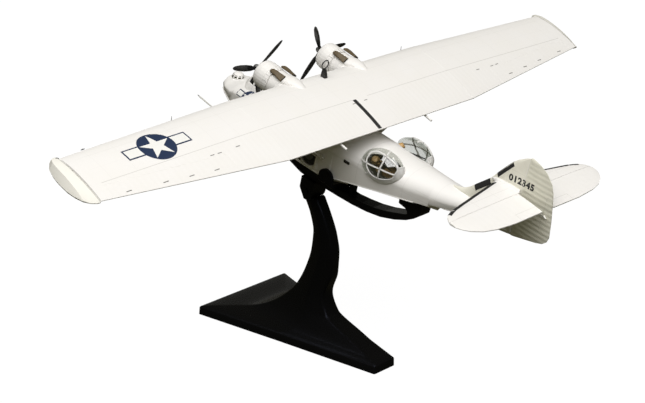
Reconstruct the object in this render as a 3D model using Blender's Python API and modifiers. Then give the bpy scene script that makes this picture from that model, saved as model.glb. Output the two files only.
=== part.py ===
"""Display model of a twin-engined parasol-wing flying boat on its stand.

Tables and sizes are in millimetres at the model's own size, and MM turns them into metres.
World frame: +X to port, -Y towards the nose, +Z up, origin under the stand on the shelf.
Hull frame: the same axes pitched nose up, origin at the wing's leading edge on the centre line.
"""

import math

import bmesh
import bpy
from mathutils import Matrix, Vector

MM = 0.001
FIT = 0.2                   # clearance between glued pieces
SIDES = (("port", 1), ("starboard", -1))

# How the model sits on its stand
WING_HEIGHT = 186.1         # wing leading edge above the shelf
HULL_PITCH = math.radians(10.5)
WING_INCIDENCE = math.radians(6.0)
THRUST_UP = math.radians(4.0)

# Wing plan, in the wing frame
KINK_X = 83.8               # end of the straight centre section
TIP_X = 214.6               # seam between wing and float
ROOT_CHORD = 63.0
TIP_LEAD = 6.6
TIP_TRAIL = 47.0
ROOT_THICKNESS = 0.150
TIP_THICKNESS = 0.125
WING_CAMBER = 0.022
TRAIL_EDGE_HALF = 0.18
AILERON_X = (120.0, 206.0)
AILERON_HINGE = 0.76        # share of the chord in front of the hinge

# Engines, in the hull frame
HUB_X = 28.4
HUB_Y = -27.8
HUB_Z = -2.4
PROP_RADIUS = 24.0
COWL_RADIUS = 9.3
COWL_FRONT = 4.0            # from the propeller's plane to the cowl's lip
COWL_BACK = 17.0
COWL_INNER = 8.3
NACELLE_PROFILE = (
    # radius, distance aft of the propeller's plane
    (0.0, 11.6),
    (8.1, 11.6),
    (8.1, 17.2),
    (8.9, 18.2),
    (8.7, 23.0),
    (7.9, 31.0),
    (6.2, 41.0),
    (3.4, 51.0),
    (0.0, 57.0),
)
ENGINE_PROFILE = ((0.0, 2.6), (1.2, 2.6), (2.2, 3.4), (3.6, 5.4), (4.0, 6.6), (4.0, 11.4), (0.0, 11.4))
POT_COUNT = 7
PROP_ANGLES = {"port": 14.0, "starboard": 60.9}
SPINNER_PROFILE = ((0.0, -3.2), (0.9, -3.0), (1.5, -2.2), (1.9, -1.2), (1.9, 1.6), (1.2, 2.3), (0.0, 2.3))
BLADE_STATIONS = (
    # distance from the hub, chord, thickness, pitch in degrees
    (1.0, 1.6, 1.5, 40.0),
    (3.5, 1.8, 1.4, 30.0),
    (7.0, 3.8, 1.1, 16.0),
    (12.5, 4.5, 0.8, 9.0),
    (18.0, 4.2, 0.6, 6.0),
    (22.4, 2.9, 0.5, 5.0),
    (PROP_RADIUS, 1.2, 0.4, 4.0),
)
EXHAUST_TILT = math.radians(29.0)   # each pipe's place round the nacelle, from its top
EXHAUST_STATIONS = (
    # distance aft, underside from the thrust line, half width, half height
    (15.4, 9.50, 1.3, 0.7),
    (17.2, 9.50, 1.6, 1.2),
    (20.0, 9.55, 1.8, 1.2),
    (23.5, 9.65, 2.1, 0.9),
    (26.8, 9.80, 2.4, 0.6),
)

# Hull sections from bow to tail
HULL_SECTIONS = (
    # y, half beam, deck, side top, chine half beam, chine, keel
    (-78.0, 4.5, -39.0, -42.5, 3.6, -46.2, -49.0),
    (-75.5, 8.8, -37.6, -41.6, 7.8, -45.4, -53.5),
    (-70.0, 12.8, -37.0, -41.0, 11.8, -45.0, -57.0),
    (-62.0, 16.2, -36.0, -40.2, 15.3, -45.7, -59.0),
    (-57.0, 17.7, -31.5, -38.0, 16.9, -47.1, -59.6),
    (-35.0, 20.6, -28.5, -36.0, 19.9, -50.2, -60.0),
    (-34.6, 20.6, -22.8, -34.0, 19.9, -50.2, -60.0),
    (-15.0, 21.4, -22.2, -33.0, 20.8, -51.2, -60.0),
    (20.0, 21.6, -20.0, -32.0, 21.1, -51.0, -60.0),
    (41.7, 21.2, -18.6, -31.3, 20.7, -50.7, -60.0),
    (42.0, 21.2, -18.6, -31.3, 20.3, -48.6, -58.2),
    (80.0, 18.7, -17.0, -29.5, 17.6, -38.8, -47.5),
    (100.0, 15.6, -16.6, -28.0, 14.6, -34.8, -42.0),
    (116.0, 12.7, -16.0, -25.8, 11.8, -31.2, -38.0),
    (116.3, 12.7, -16.0, -25.8, 11.6, -30.0, -35.2),
    (140.0, 8.6, -14.6, -21.0, 6.8, -25.0, -29.6),
    (160.0, 4.6, -13.6, -18.5, 3.4, -21.8, -25.6),
    (171.6, 2.2, -13.0, -17.5, 1.7, -20.5, -23.2),
)

# Wheels, folded into the hull's sides
WHEEL_Y = 21.5
WHEEL_Z = -41.6
WHEEL_RADIUS = 7.8
WHEEL_X = 18.4
WHEEL_WIDTH = 4.4
WELL_DEPTH_X = 16.0

# Bow turret
TURRET_Y = -71.0
TURRET_LEVELS = ((-42.0, 4.4), (-37.0, 4.4), (-35.2, 3.9), (-34.0, 3.0), (-33.4, 1.6))

# Cockpit
CANOPY_FRAMES = (
    # y, half width at the sill, half width at the shoulder, roof
    (-56.6, 8.6, 6.0, -29.6),
    (-51.8, 12.6, 9.0, -23.4),
    (-46.5, 13.4, 10.0, -22.0),
    (-35.6, 13.8, 10.2, -21.8),
)
CANOPY_SILL = -33.0
SIDE_WINDOWS = ((-50.6, -46.0), (-45.0, -40.6), (-39.6, -36.6))

# Pylon between hull and wing
PYLON_LEVELS = (
    # height, fall towards the tail, front y, back y, half width
    (-27.0, 0.0, 2.5, 57.0, 7.4),
    (-9.0, 0.08, 4.0, 55.0, 6.4),
    (0.5, math.tan(WING_INCIDENCE), 5.0, 54.0, 6.4),
)

# Wing struts
STRUT_LEGS = (
    # place, foot y and z on the hull, head x, y and z in the wing
    ("front", 9.0, -38.5, 66.0, 12.0, -4.0),
    ("rear", 33.5, -41.0, 66.0, 38.0, -6.5),
)
STRUT_FOOT_X = 17.0

# Tip floats, in the wing frame
FLOAT_STATIONS = (
    # y, top, bottom, width
    (3.6, 0.6, -2.0, 3.0),
    (4.6, 1.4, -4.4, 5.4),
    (8.5, 2.4, -6.4, 7.2),
    (16.0, 3.0, -7.6, 8.0),
    (26.0, 2.8, -7.6, 8.0),
    (36.0, 2.0, -6.4, 7.6),
    (43.0, 1.2, -4.0, 6.2),
    (46.2, 0.6, -2.0, 4.0),
    (47.4, 0.3, -0.8, 1.6),
)

# Probe and pipes, in the wing frame
PITOT_X = 93.0
PITOT_LENGTH = 12.0
DUMP_PIPE_X = 39.0
DUMP_PIPE_ENDS = ((51.0, -1.7), (67.4, -2.6))   # y and z
DUMP_PIPE_RADIUS = 0.75

# Waist blisters
BLISTER_CENTRE = (14.4, 78.0, -22.2)
BLISTER_RADII = (8.4, 15.6, 10.6)
BLISTER_RISE = math.radians(5.0)    # the bubble's long axis climbs towards the tail,
BLISTER_TOE = math.radians(6.0)     # closes in with the hull's side,
BLISTER_TILT = math.radians(12.0)   # and its crown looks a little upwards
BLISTER_WALL = 0.7
FRAME_LIFT = 0.75           # outside of the frame above the glazing's outside
FRAME_THICKNESS = 0.55
RIB_ANGLES = (0.0, 86.0, 180.0, 265.0)
RIB_HALF = 2.2              # degrees
RIM_FROM = 46.0             # degrees from the blister's crown where the solid rim starts
WAIST_ROOM = ((-13.0, 68.0, -32.4), (13.0, 93.0, -21.0))
WAIST_BENCH = ((-9.0, 74.0, -32.2), (9.0, 84.0, -28.6))

# Tail
HINGE_Y = 172.0
FIN_LEVELS = (
    # z, leading edge y, half thickness
    (-18.0, 132.0, 2.6),
    (-9.0, 138.4, 2.4),
    (3.6, 148.6, 2.2),
    (15.0, 157.3, 1.9),
    (22.1, 162.4, 1.6),
    (26.5, 166.6, 1.2),
    (28.6, 169.4, 0.8),
    (29.6, 171.2, 0.6),
)
RUDDER_LEVELS = (
    # z, trailing edge y, half thickness
    (-22.8, 174.4, 0.8),
    (-20.4, 183.0, 0.9),
    (-18.4, 190.0, 1.0),
    (-16.6, 194.4, 1.1),
    (-14.0, 197.0, 1.2),
    (-10.5, 198.0, 1.3),
    (0.0, 196.4, 1.3),
    (7.0, 194.9, 1.3),
    (16.5, 192.8, 1.2),
    (21.7, 190.3, 1.1),
    (26.6, 185.2, 1.0),
    (29.0, 180.0, 0.9),
    (30.2, 175.4, 0.8),
)
HINGE_GAP = 0.12            # each side of the rudder's hinge line
TAILPLANE_Z = 6.0
ELEVATOR_HINGE_Y = 172.6
ELEVATOR_ROOT = 5.4
TAILPLANE_STATIONS = (
    # x, leading edge y, trailing edge y, half thickness
    (3.0, 153.9, 192.0, 2.4),
    (30.0, 158.9, 192.2, 2.0),
    (45.0, 161.8, 190.8, 1.7),
    (54.0, 163.6, 188.4, 1.5),
    (60.5, 166.2, 184.6, 1.2),
    (64.0, 169.4, 180.8, 0.9),
    (65.8, 172.9, 177.4, 0.6),
)

# Stand, in the world frame
PEDESTAL_LEVELS = (
    # z, front y, front half, ridge y, ridge half, rear y, rear half
    (0.0, -65.6, 41.2, 0.0, 25.8, 72.4, 9.4),
    (5.6, -65.3, 40.8, 0.0, 25.4, 72.1, 9.1),
    (6.2, -64.6, 40.1, 0.0, 24.8, 71.4, 8.5),
    (9.0, -40.0, 16.6, 4.0, 18.6, 61.5, 7.6),
    (14.0, -29.0, 10.5, 7.0, 13.8, 46.5, 7.0),
    (22.0, -18.8, 7.8, 7.5, 10.6, 25.2, 6.2),
    (35.0, -7.4, 6.2, 7.0, 8.6, 18.0, 5.2),
    (52.0, 0.4, 5.2, 11.5, 7.0, 23.0, 4.2),
    (66.0, 4.2, 5.0, 14.5, 6.4, 23.4, 4.0),
    (78.0, 5.0, 4.9, 14.0, 6.2, 20.6, 3.9),
    (90.0, 1.4, 4.8, 9.6, 6.0, 14.8, 3.8),
    (101.4, -5.0, 5.0, 1.6, 6.0, 7.4, 4.2),
)
KNUCKLE_CENTRE = (-1.5, 105.5)      # y and z of the stand's tilt pin
KNUCKLE_RADIUS = 6.0
KNUCKLE_RISE = 9.0
KNUCKLE_HALF = 6.4
PIN_RADIUS = 2.0
PIN_LENGTH = 14.4
CRADLE_HALF = 4.6

# Cradle outlines of y and z in the hull frame; their tops are hollowed to the V of the hull's bottom
CRADLE_OUTLINE = (
    (-14.0, -60.2),
    (-13.0, -64.5),
    (-7.0, -67.6),
    (4.0, -70.3),
    (22.0, -70.3),
    (40.0, -69.3),
    (52.0, -68.4),
    (65.0, -66.6),
    (77.0, -63.8),
    (88.5, -59.2),
    (97.5, -54.4),
    (103.0, -50.2),
    (106.8, -46.2),
    (107.2, -44.0),
    (106.8, -36.0),
    (88.2, -40.0),
    (88.8, -46.4),
    (94.4, -47.0),
    (96.6, -48.4),
    (97.0, -50.0),
    (95.2, -51.2),
    (89.8, -53.4),
    (80.0, -57.4),
    (70.0, -60.5),
    (60.0, -62.6),
    (50.0, -64.2),
    (26.2, -64.2),
    (25.6, -60.2),
)
MID_PAD_OUTLINE = (
    (45.6, -63.95),
    (48.6, -63.95),
    (48.6, -52.0),
    (45.6, -52.0),
)
MID_PAD_HALF = 2.2
CLAW_RINGS = (
    # y, top of the two claws
    (35.6, -46.6),
    (37.0, -44.4),
    (39.6, -42.6),
    (43.4, -42.6),
    (46.0, -44.4),
    (47.4, -46.6),
)
CLAW_INNER = ((0.0, -60.3), (21.1, -51.1))
CLAW_OUTER = ((23.9, -52.0), (20.4, -55.2), (5.0, -63.9), (0.0, -63.9))
CLAW_TIP_X = (21.9, 23.5)
CLAW_SWEEP = 9.0            # the yoke's middle lies this far in front of its claws

# Loop aerial on top of the wing, in the hull frame
LOOP_X = 5.4
LOOP_Y = 7.7
LOOP_Z = 12.45
LOOP_FOOT_OUTLINE = (
    (6.8, 3.0),
    (11.0, 3.0),
    (9.8, 6.4),
    (8.4, 9.05),
    (7.0, 9.05),
    (6.6, 6.4),
)

ROOT_NAME = "display_flying_boat"


def clear_scene():
    for obj in list(bpy.data.objects):
        bpy.data.objects.remove(obj)


def new_collection(name):
    collection = bpy.data.collections.new(name)
    bpy.context.scene.collection.children.link(collection)
    return collection


clear_scene()
PARTS = new_collection(ROOT_NAME)
CUTTERS = new_collection("cutters")


def material(name, colour, roughness, metallic=0.0, alpha=1.0):
    mat = bpy.data.materials.new(name)
    mat.use_nodes = True
    shader = mat.node_tree.nodes["Principled BSDF"]
    shader.inputs["Base Color"].default_value = (*colour, 1.0)
    shader.inputs["Roughness"].default_value = roughness
    shader.inputs["Metallic"].default_value = metallic
    shader.inputs["Alpha"].default_value = alpha
    return mat


WHITE = ((0.80, 0.78, 0.72), 0.45)
BLACK_PLASTIC = ((0.012, 0.012, 0.013), 0.35)
PROP_BLACK = ((0.010, 0.010, 0.011), 0.45)
EXHAUST_BROWN = ((0.13, 0.075, 0.035), 0.55)
ENGINE_GREY = ((0.10, 0.10, 0.11), 0.40)
TYRE_BLACK = ((0.015, 0.015, 0.016), 0.80)
TAN = ((0.35, 0.19, 0.07), 0.60)
GLASS = ((0.55, 0.60, 0.60), 0.05, 0.0, 0.35)


def empty(name, parent=None, location=(0.0, 0.0, 0.0), pitch=0.0):
    rig = bpy.data.objects.new(name, None)
    PARTS.objects.link(rig)
    rig.parent = parent
    rig.location = Vector(location) * MM
    rig.rotation_euler = (-pitch, 0.0, 0.0)
    return rig


AIRCRAFT = empty("aircraft_rig", None, (0.0, 0.0, WING_HEIGHT), HULL_PITCH)
WING_RIG = empty("wing_rig", AIRCRAFT, pitch=WING_INCIDENCE)


def add_object(name, bm, parent, finish=None):
    """Turns a bmesh in millimetres into a part, or into a hidden cutter where no finish is given."""
    bmesh.ops.scale(bm, vec=(MM, MM, MM), verts=bm.verts)
    bmesh.ops.recalc_face_normals(bm, faces=bm.faces)
    mesh = bpy.data.meshes.new(name)
    bm.to_mesh(mesh)
    bm.free()
    obj = bpy.data.objects.new(name, mesh)
    obj.parent = parent
    if finish is None:
        CUTTERS.objects.link(obj)
        obj.hide_render = True
        obj.display_type = "WIRE"
        return obj
    PARTS.objects.link(obj)
    mesh.materials.append(material(name, *finish))
    mesh.shade_smooth()
    mesh.set_sharp_from_angle(angle=math.radians(35.0))
    return obj


def loft(name, rings, parent, finish=None):
    """Skins a list of rings with the same number of points and closes both ends."""
    bm = bmesh.new()
    rows = [[bm.verts.new(point) for point in ring] for ring in rings]
    count = len(rows[0])
    for row, next_row in zip(rows, rows[1:]):
        for k in range(count):
            n = (k + 1) % count
            bm.faces.new((row[k], row[n], next_row[n], next_row[k]))
    bm.faces.new(rows[0])
    bm.faces.new(list(reversed(rows[-1])))
    return add_object(name, bm, parent, finish)


def boolean(obj, cutter, operation="DIFFERENCE"):
    modifier = obj.modifiers.new(f"{operation.lower()} {cutter.name}", "BOOLEAN")
    modifier.operation = operation
    modifier.object = cutter
    modifier.solver = "EXACT"


def box(name, low, high, parent, finish=None):
    bm = bmesh.new()
    size = [b - a for a, b in zip(low, high)]
    centre = [(a + b) / 2 for a, b in zip(low, high)]
    place = Matrix.Translation(centre) @ Matrix.Diagonal((*size, 1.0))
    bmesh.ops.create_cube(bm, size=1.0, matrix=place)
    return add_object(name, bm, parent, finish)


def cylinder(name, centre, axis, radius, length, parent, finish=None, segments=24):
    bm = bmesh.new()
    place = Matrix.Translation(centre) @ Vector(axis).to_track_quat("Z", "Y").to_matrix().to_4x4()
    bmesh.ops.create_cone(bm, cap_ends=True, segments=segments, radius1=radius, radius2=radius,
                          depth=length, matrix=place)
    return add_object(name, bm, parent, finish)


def ellipsoid(name, centre, radii, turn, parent, finish=None):
    bm = bmesh.new()
    place = Matrix.Translation(centre) @ turn.to_4x4() @ Matrix.Diagonal((*radii, 1.0))
    bmesh.ops.create_uvsphere(bm, u_segments=24, v_segments=14, radius=1.0, matrix=place)
    return add_object(name, bm, parent, finish)


def plate(name, outline, half_thickness, parent, finish=None):
    """A flat outline of (y, z) points, filled and given its thickness across x."""
    curve = bpy.data.curves.new(name, "CURVE")
    curve.dimensions = "2D"
    curve.fill_mode = "BOTH"
    curve.extrude = half_thickness
    spline = curve.splines.new("POLY")
    spline.points.add(len(outline) - 1)
    for point, (y, z) in zip(spline.points, outline):
        point.co = (y, z, 0.0, 1.0)
    spline.use_cyclic_u = True
    flat = bpy.data.objects.new(name + "_outline", curve)
    bpy.context.scene.collection.objects.link(flat)
    depsgraph = bpy.context.evaluated_depsgraph_get()
    mesh = bpy.data.meshes.new_from_object(flat.evaluated_get(depsgraph))
    bpy.data.objects.remove(flat)
    bm = bmesh.new()
    bm.from_mesh(mesh)
    bmesh.ops.remove_doubles(bm, verts=bm.verts, dist=0.001)
    for vert in bm.verts:
        y, z, x = vert.co
        vert.co = (x, y, z)
    return add_object(name, bm, parent, finish)


def turned(name, profile, parent, finish, location, steps=28, closed=False):
    """A profile of (radius, distance aft) turned about the thrust line by a Screw modifier."""
    bm = bmesh.new()
    verts = [bm.verts.new((radius * MM, 0.0, -aft * MM)) for radius, aft in profile]
    for a, b in zip(verts, verts[1:]):
        bm.edges.new((a, b))
    if closed:
        bm.edges.new((verts[-1], verts[0]))
    mesh = bpy.data.meshes.new(name)
    bm.to_mesh(mesh)
    bm.free()
    obj = bpy.data.objects.new(name, mesh)
    obj.parent = parent
    obj.location = Vector(location) * MM
    obj.rotation_euler = (math.pi / 2 - THRUST_UP, 0.0, 0.0)
    screw = obj.modifiers.new("turned", "SCREW")
    screw.angle = 2 * math.pi
    screw.steps = steps
    screw.render_steps = steps
    screw.use_merge_vertices = True
    screw.merge_threshold = 0.00001
    screw.use_smooth_shade = True
    if finish is None:
        CUTTERS.objects.link(obj)
        obj.hide_render = True
        obj.display_type = "WIRE"
        return obj
    PARTS.objects.link(obj)
    mesh.materials.append(material(name, *finish))
    return obj


def hull_ring(section, grow):
    """One hull section: an arched deck, flat sides, a chine and a V bottom."""
    y, half, deck, side, chine_half, chine, keel = section
    arch = 7
    port = [(0.0, y, keel - grow), (chine_half + grow, y, chine - grow)]
    for k in range(arch):
        angle = math.pi / 2 * k / arch
        x = (half + grow) * math.cos(angle)
        z = side + (deck + grow - side) * math.sin(angle)
        port.append((x, y, z))
    top = [(0.0, y, deck + grow)]
    starboard = [(-x, py, z) for x, py, z in reversed(port[1:])]
    return port + top + starboard


def hull_body(name, grow, finish=None):
    rings = [hull_ring(section, grow) for section in HULL_SECTIONS]
    if grow:
        rings[0] = [(x, y - grow, z) for x, y, z in rings[0]]
        rings[-1] = [(x, y + grow, z) for x, y, z in rings[-1]]
    return loft(name, rings, AIRCRAFT, finish)


def wing_lead(x):
    return TIP_LEAD * max(0.0, abs(x) - KINK_X) / (TIP_X - KINK_X)


def wing_trail(x):
    return ROOT_CHORD + (TIP_TRAIL - ROOT_CHORD) * max(0.0, abs(x) - KINK_X) / (TIP_X - KINK_X)


def wing_ratio(x):
    return ROOT_THICKNESS + (TIP_THICKNESS - ROOT_THICKNESS) * max(0.0, abs(x) - KINK_X) / (TIP_X - KINK_X)


def wing_section(x, grow=0.0):
    """The aerofoil ring at one span station, from the trailing edge over the top and back."""
    lead = wing_lead(x)
    chord = wing_trail(x) - lead
    steps = 9
    upper = []
    lower = []
    for k in range(steps + 1):
        s = (1 + math.cos(math.pi * k / steps)) / 2
        half = 5 * wing_ratio(x) * chord * (
            0.2969 * math.sqrt(s) - 0.1260 * s - 0.3516 * s**2 + 0.2843 * s**3 - 0.1015 * s**4)
        half += TRAIL_EDGE_HALF * s
        mean = 4 * WING_CAMBER * chord * s * (1 - s)
        y = lead + chord * s + grow * math.cos(math.pi * k / steps)
        upper.append((x, y, mean + half + grow * math.sin(math.pi * k / steps) + grow * 0.3))
        lower.append((x, y, mean - half - grow * math.sin(math.pi * k / steps) - grow * 0.3))
    return upper[:-1] + [(x, lead - grow, 0.0)] + list(reversed(lower[:-1]))


def blister_turn(side):
    """How a blister's own axes lie in the hull frame; its X axis points at the crown on the port side."""
    return (Matrix.Rotation(side * BLISTER_TOE, 3, "Z") @ Matrix.Rotation(BLISTER_RISE, 3, "X")
            @ Matrix.Rotation(-side * BLISTER_TILT, 3, "Y"))


def build_hull():
    hull = hull_body("hull", 0.0, WHITE)
    boolean(hull, box("waist_room_cut", *WAIST_ROOM, AIRCRAFT))
    for name, side in SIDES:
        x, y, z = BLISTER_CENTRE
        radii = [r - 2.0 for r in BLISTER_RADII]
        boolean(hull, ellipsoid(f"blister_cut_{name}", (side * x, y, z), radii, blister_turn(side),
                                AIRCRAFT))
        boolean(hull, cylinder(f"wheel_well_cut_{name}", (side * (WELL_DEPTH_X + 5.0), WHEEL_Y, WHEEL_Z),
                               (1, 0, 0), WHEEL_RADIUS + 0.6, 10.0, AIRCRAFT))
    box("waist_bench", *WAIST_BENCH, AIRCRAFT, TAN)


def build_wheels():
    for name, side in SIDES:
        wheel = cylinder(f"wheel_{name}", (side * WHEEL_X, WHEEL_Y, WHEEL_Z), (1, 0, 0),
                         WHEEL_RADIUS, WHEEL_WIDTH, AIRCRAFT, TYRE_BLACK)
        bevel = wheel.modifiers.new("tread edge", "BEVEL")
        bevel.width = 1.0 * MM
        bevel.segments = 2
        bevel.limit_method = "ANGLE"


def build_turret(hull_cut):
    rings = []
    for z, radius in TURRET_LEVELS:
        rings.append([(radius * math.cos(a), TURRET_Y + radius * math.sin(a), z)
                      for a in (2 * math.pi * k / 20 for k in range(20))])
    turret = loft("bow_turret", rings, AIRCRAFT, WHITE)
    boolean(turret, hull_cut)


def canopy_body(name, inset, low, finish=None):
    """The cockpit roof as a solid: a raked windscreen in front and an arched top."""
    rings = []
    for index, (y, half_low, half_high, top) in enumerate(CANOPY_FRAMES):
        shift = inset if index == 0 else 0.0
        shift = -inset if index == len(CANOPY_FRAMES) - 1 else shift
        crown = top - inset
        shoulder = crown - 0.3 * (top - CANOPY_SILL)
        port = [(half_low - inset, y + shift, low), (half_low - inset, y + shift, CANOPY_SILL)]
        steps = 4
        for k in range(steps + 1):
            a = math.pi / 2 * k / steps
            x = (half_high - inset) * math.cos(a)
            port.append((x, y + shift, shoulder + (crown - shoulder) * math.sin(a)))
        rings.append(port + [(-x, py, z) for x, py, z in reversed(port[:-1])])
    return loft(name, rings, AIRCRAFT, finish)


def build_canopy(hull_cut):
    roof = canopy_body("cockpit_roof", 0.0, -34.0, WHITE)
    boolean(roof, canopy_body("cockpit_roof_hollow_cut", 0.7, -40.0))
    boolean(roof, hull_cut)
    for name, side in SIDES:
        for number, (front, back) in enumerate(SIDE_WINDOWS):
            cut = box(f"side_window_cut_{name}_{number}", (side * 11.5 - 4.0, front, -28.4),
                      (side * 11.5 + 4.0, back, -24.4), AIRCRAFT)
            boolean(roof, cut)
        pane = box(f"windscreen_cut_{name}", (side * 4.2 - 3.6, -60.0, -28.6),
                   (side * 4.2 + 3.6, -52.4, -25.0), AIRCRAFT)
        boolean(roof, pane)
    glass = canopy_body("cockpit_glass", 0.9, -34.0, GLASS)
    boolean(glass, hull_cut)
    boolean(glass, canopy_body("cockpit_glass_hollow_cut", 1.5, -40.0))


def build_pylon(hull_cut, wing_cut):
    rings = []
    for z, fall, front, back, half in PYLON_LEVELS:
        ring = []
        for k in range(24):
            a = 2 * math.pi * k / 24
            s = (1 - math.cos(a)) / 2
            x = half * math.sin(a) * (1.15 - 0.45 * s)
            y = front + (back - front) * s
            ring.append((x, y, z - fall * y))
        rings.append(ring)
    pylon = loft("wing_pylon", rings, AIRCRAFT, WHITE)
    boolean(pylon, hull_cut)
    boolean(pylon, wing_cut)


def aileron_region(name, side, gap):
    """The slab of wing that the aileron takes up, shrunk by a gap on its front and ends."""
    inner, outer = AILERON_X
    ring_low = []
    for x in (inner + gap, outer - gap):
        hinge = wing_lead(x) + AILERON_HINGE * (wing_trail(x) - wing_lead(x)) + gap
        ring_low.append((side * x, hinge))
    (x0, h0), (x1, h1) = ring_low
    corners = [(x0, h0), (x1, h1), (x1, h1 + 30.0), (x0, h0 + 30.0)]
    rings = [[(x, y, z) for x, y in corners] for z in (-12.0, 12.0)]
    return loft(name, rings, WING_RIG)


def build_wing():
    loft("wing_centre", [wing_section(x) for x in (-KINK_X, KINK_X)], WING_RIG, WHITE)
    for name, side in SIDES:
        stations = (side * (KINK_X + FIT), side * (TIP_X - FIT))
        rings = [wing_section(x) for x in stations]
        panel = loft(f"wing_panel_{name}", rings, WING_RIG, WHITE)
        boolean(panel, aileron_region(f"aileron_bay_{name}", side, 0.0))
        aileron = loft(f"aileron_{name}", rings, WING_RIG, WHITE)
        boolean(aileron, aileron_region(f"aileron_keep_{name}", side, FIT), "INTERSECT")


def build_tip_floats():
    """Each float folds up to become the wing's tip: a rounded boat on its side."""
    for name, side in SIDES:
        rings = []
        for y, top, bottom, width in FLOAT_STATIONS:
            ring = [(side * TIP_X, y, top), (side * TIP_X, y, bottom)]
            steps = 8
            for k in range(1, steps):
                a = math.pi * k / steps
                x = TIP_X + width * math.sin(a) ** 0.75
                z = (top + bottom) / 2 - (top - bottom) / 2 * math.cos(a)
                ring.append((side * x, y, z))
            rings.append(ring)
        loft(f"tip_float_{name}", rings, WING_RIG, WHITE)


def build_struts(hull_cut, wing_cut):
    for name, side in SIDES:
        for place, foot_y, foot_z, head_x, head_y, head_z in STRUT_LEGS:
            foot = Vector((side * STRUT_FOOT_X, foot_y, foot_z))
            head = Vector((side * head_x, head_y, head_z))
            rings = []
            for point in (foot, head):
                rings.append([(point.x, point.y + 2.0 * math.cos(a), point.z + 0.8 * math.sin(a))
                              for a in (2 * math.pi * k / 12 for k in range(12))])
            strut = loft(f"wing_strut_{place}_{name}", rings, AIRCRAFT, WHITE)
            boolean(strut, hull_cut)
            boolean(strut, wing_cut)


def build_engines(wing_cut):
    cowl_profile = ((COWL_RADIUS - 2.3, COWL_FRONT + 0.4), (COWL_RADIUS - 1.5, COWL_FRONT),
                    (COWL_RADIUS - 0.5, COWL_FRONT + 1.2), (COWL_RADIUS, COWL_FRONT + 4.0),
                    (COWL_RADIUS, COWL_BACK - 4.0), (COWL_RADIUS - 0.4, COWL_BACK),
                    (COWL_INNER, COWL_BACK), (COWL_INNER, COWL_FRONT + 4.0))
    for name, side in SIDES:
        hub = (side * HUB_X, HUB_Y, HUB_Z)
        nacelle = turned(f"nacelle_{name}", NACELLE_PROFILE, AIRCRAFT, WHITE, hub)
        boolean(nacelle, wing_cut)
        turned(f"cowl_{name}", cowl_profile, AIRCRAFT, WHITE, hub, closed=True)
        engine = turned(f"engine_{name}", ENGINE_PROFILE, AIRCRAFT, ENGINE_GREY, hub, steps=20)
        for number in range(POT_COUNT):
            angle = 2 * math.pi * number / POT_COUNT
            arm = Vector((math.cos(angle), math.sin(angle), 0.0))
            pot = cylinder(f"engine_pot_cut_{name}_{number}", arm * 5.5 + Vector((0, 0, -8.9)), arm,
                           1.8, 4.6, engine, segments=12)
            boolean(engine, pot, "UNION")
        build_propeller(name, hub)
        build_exhausts(name, nacelle)


def build_propeller(name, hub):
    propeller = turned(f"propeller_{name}", SPINNER_PROFILE, AIRCRAFT, PROP_BLACK, hub, steps=16)
    for number in range(3):
        turn = Matrix.Rotation(math.radians(PROP_ANGLES[name] + 120.0 * number), 3, "Z")
        rings = []
        for radius, chord, thick, pitch in BLADE_STATIONS:
            twist = Matrix.Rotation(math.radians(pitch), 3, "X")
            ring = []
            for k in range(8):
                a = 2 * math.pi * k / 8
                point = Vector((0.0, chord / 2 * math.cos(a), thick / 2 * math.sin(a)))
                ring.append(turn @ (Vector((radius, 0.0, 0.0)) + twist @ point))
            rings.append(ring)
        blade = loft(f"blade_{name}_{number}", rings, propeller)
        boolean(propeller, blade, "UNION")


def build_exhausts(name, nacelle):
    """Two flattened pipes on top of each nacelle, flaring towards the wing, drawn about its thrust line."""
    for place, tilt in (("port_pipe", EXHAUST_TILT), ("starboard_pipe", -EXHAUST_TILT)):
        out = Vector((math.sin(tilt), math.cos(tilt), 0.0))
        across = Vector((math.cos(tilt), -math.sin(tilt), 0.0))
        rings = []
        for aft, under, wide, high in EXHAUST_STATIONS:
            ring = []
            for k in range(12):
                a = 2 * math.pi * (k + 0.5) / 12
                t = wide * math.copysign(abs(math.cos(a)) ** 0.6, math.cos(a))
                n = high * math.copysign(abs(math.sin(a)) ** 0.6, math.sin(a))
                ring.append(across * t + out * (under + high + n) + Vector((0.0, 0.0, -aft)))
            rings.append(ring)
        pipe = loft(f"exhaust_{place}_{name}", rings, AIRCRAFT, EXHAUST_BROWN)
        pipe.location = nacelle.location
        pipe.rotation_euler = nacelle.rotation_euler


def lens_ring(lead, trail, half, level, steps=6):
    """A symmetric streamlined section in a level plane, blunt at its trailing edge."""
    port = []
    for k in range(steps + 1):
        s = (1 - math.cos(math.pi * k / steps)) / 2
        width = half * min(1.0, 1.9 * math.sqrt(s) * (1.15 - 0.55 * s))
        port.append((max(width, 0.0), lead + (trail - lead) * s))
    port[0] = (0.0, lead)
    ring = [(x, y, level) for x, y in port]
    return ring + [(-x, y, level) for x, y in reversed(port[1:])]


def build_fin(hull_cut):
    rings = [lens_ring(lead, HINGE_Y - HINGE_GAP, half, z) for z, lead, half in FIN_LEVELS]
    fin = loft("fin", rings, AIRCRAFT, WHITE)
    boolean(fin, hull_cut)
    rings = []
    for z, trail, half in RUDDER_LEVELS:
        port = [(half, HINGE_Y + HINGE_GAP), (half * 0.9, HINGE_Y + (trail - HINGE_Y) * 0.5), (0.2, trail)]
        ring = [(x, y, z) for x, y in port]
        rings.append(ring + [(-x, y, z) for x, y in reversed(port)])
    loft("rudder", rings, AIRCRAFT, WHITE)


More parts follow.
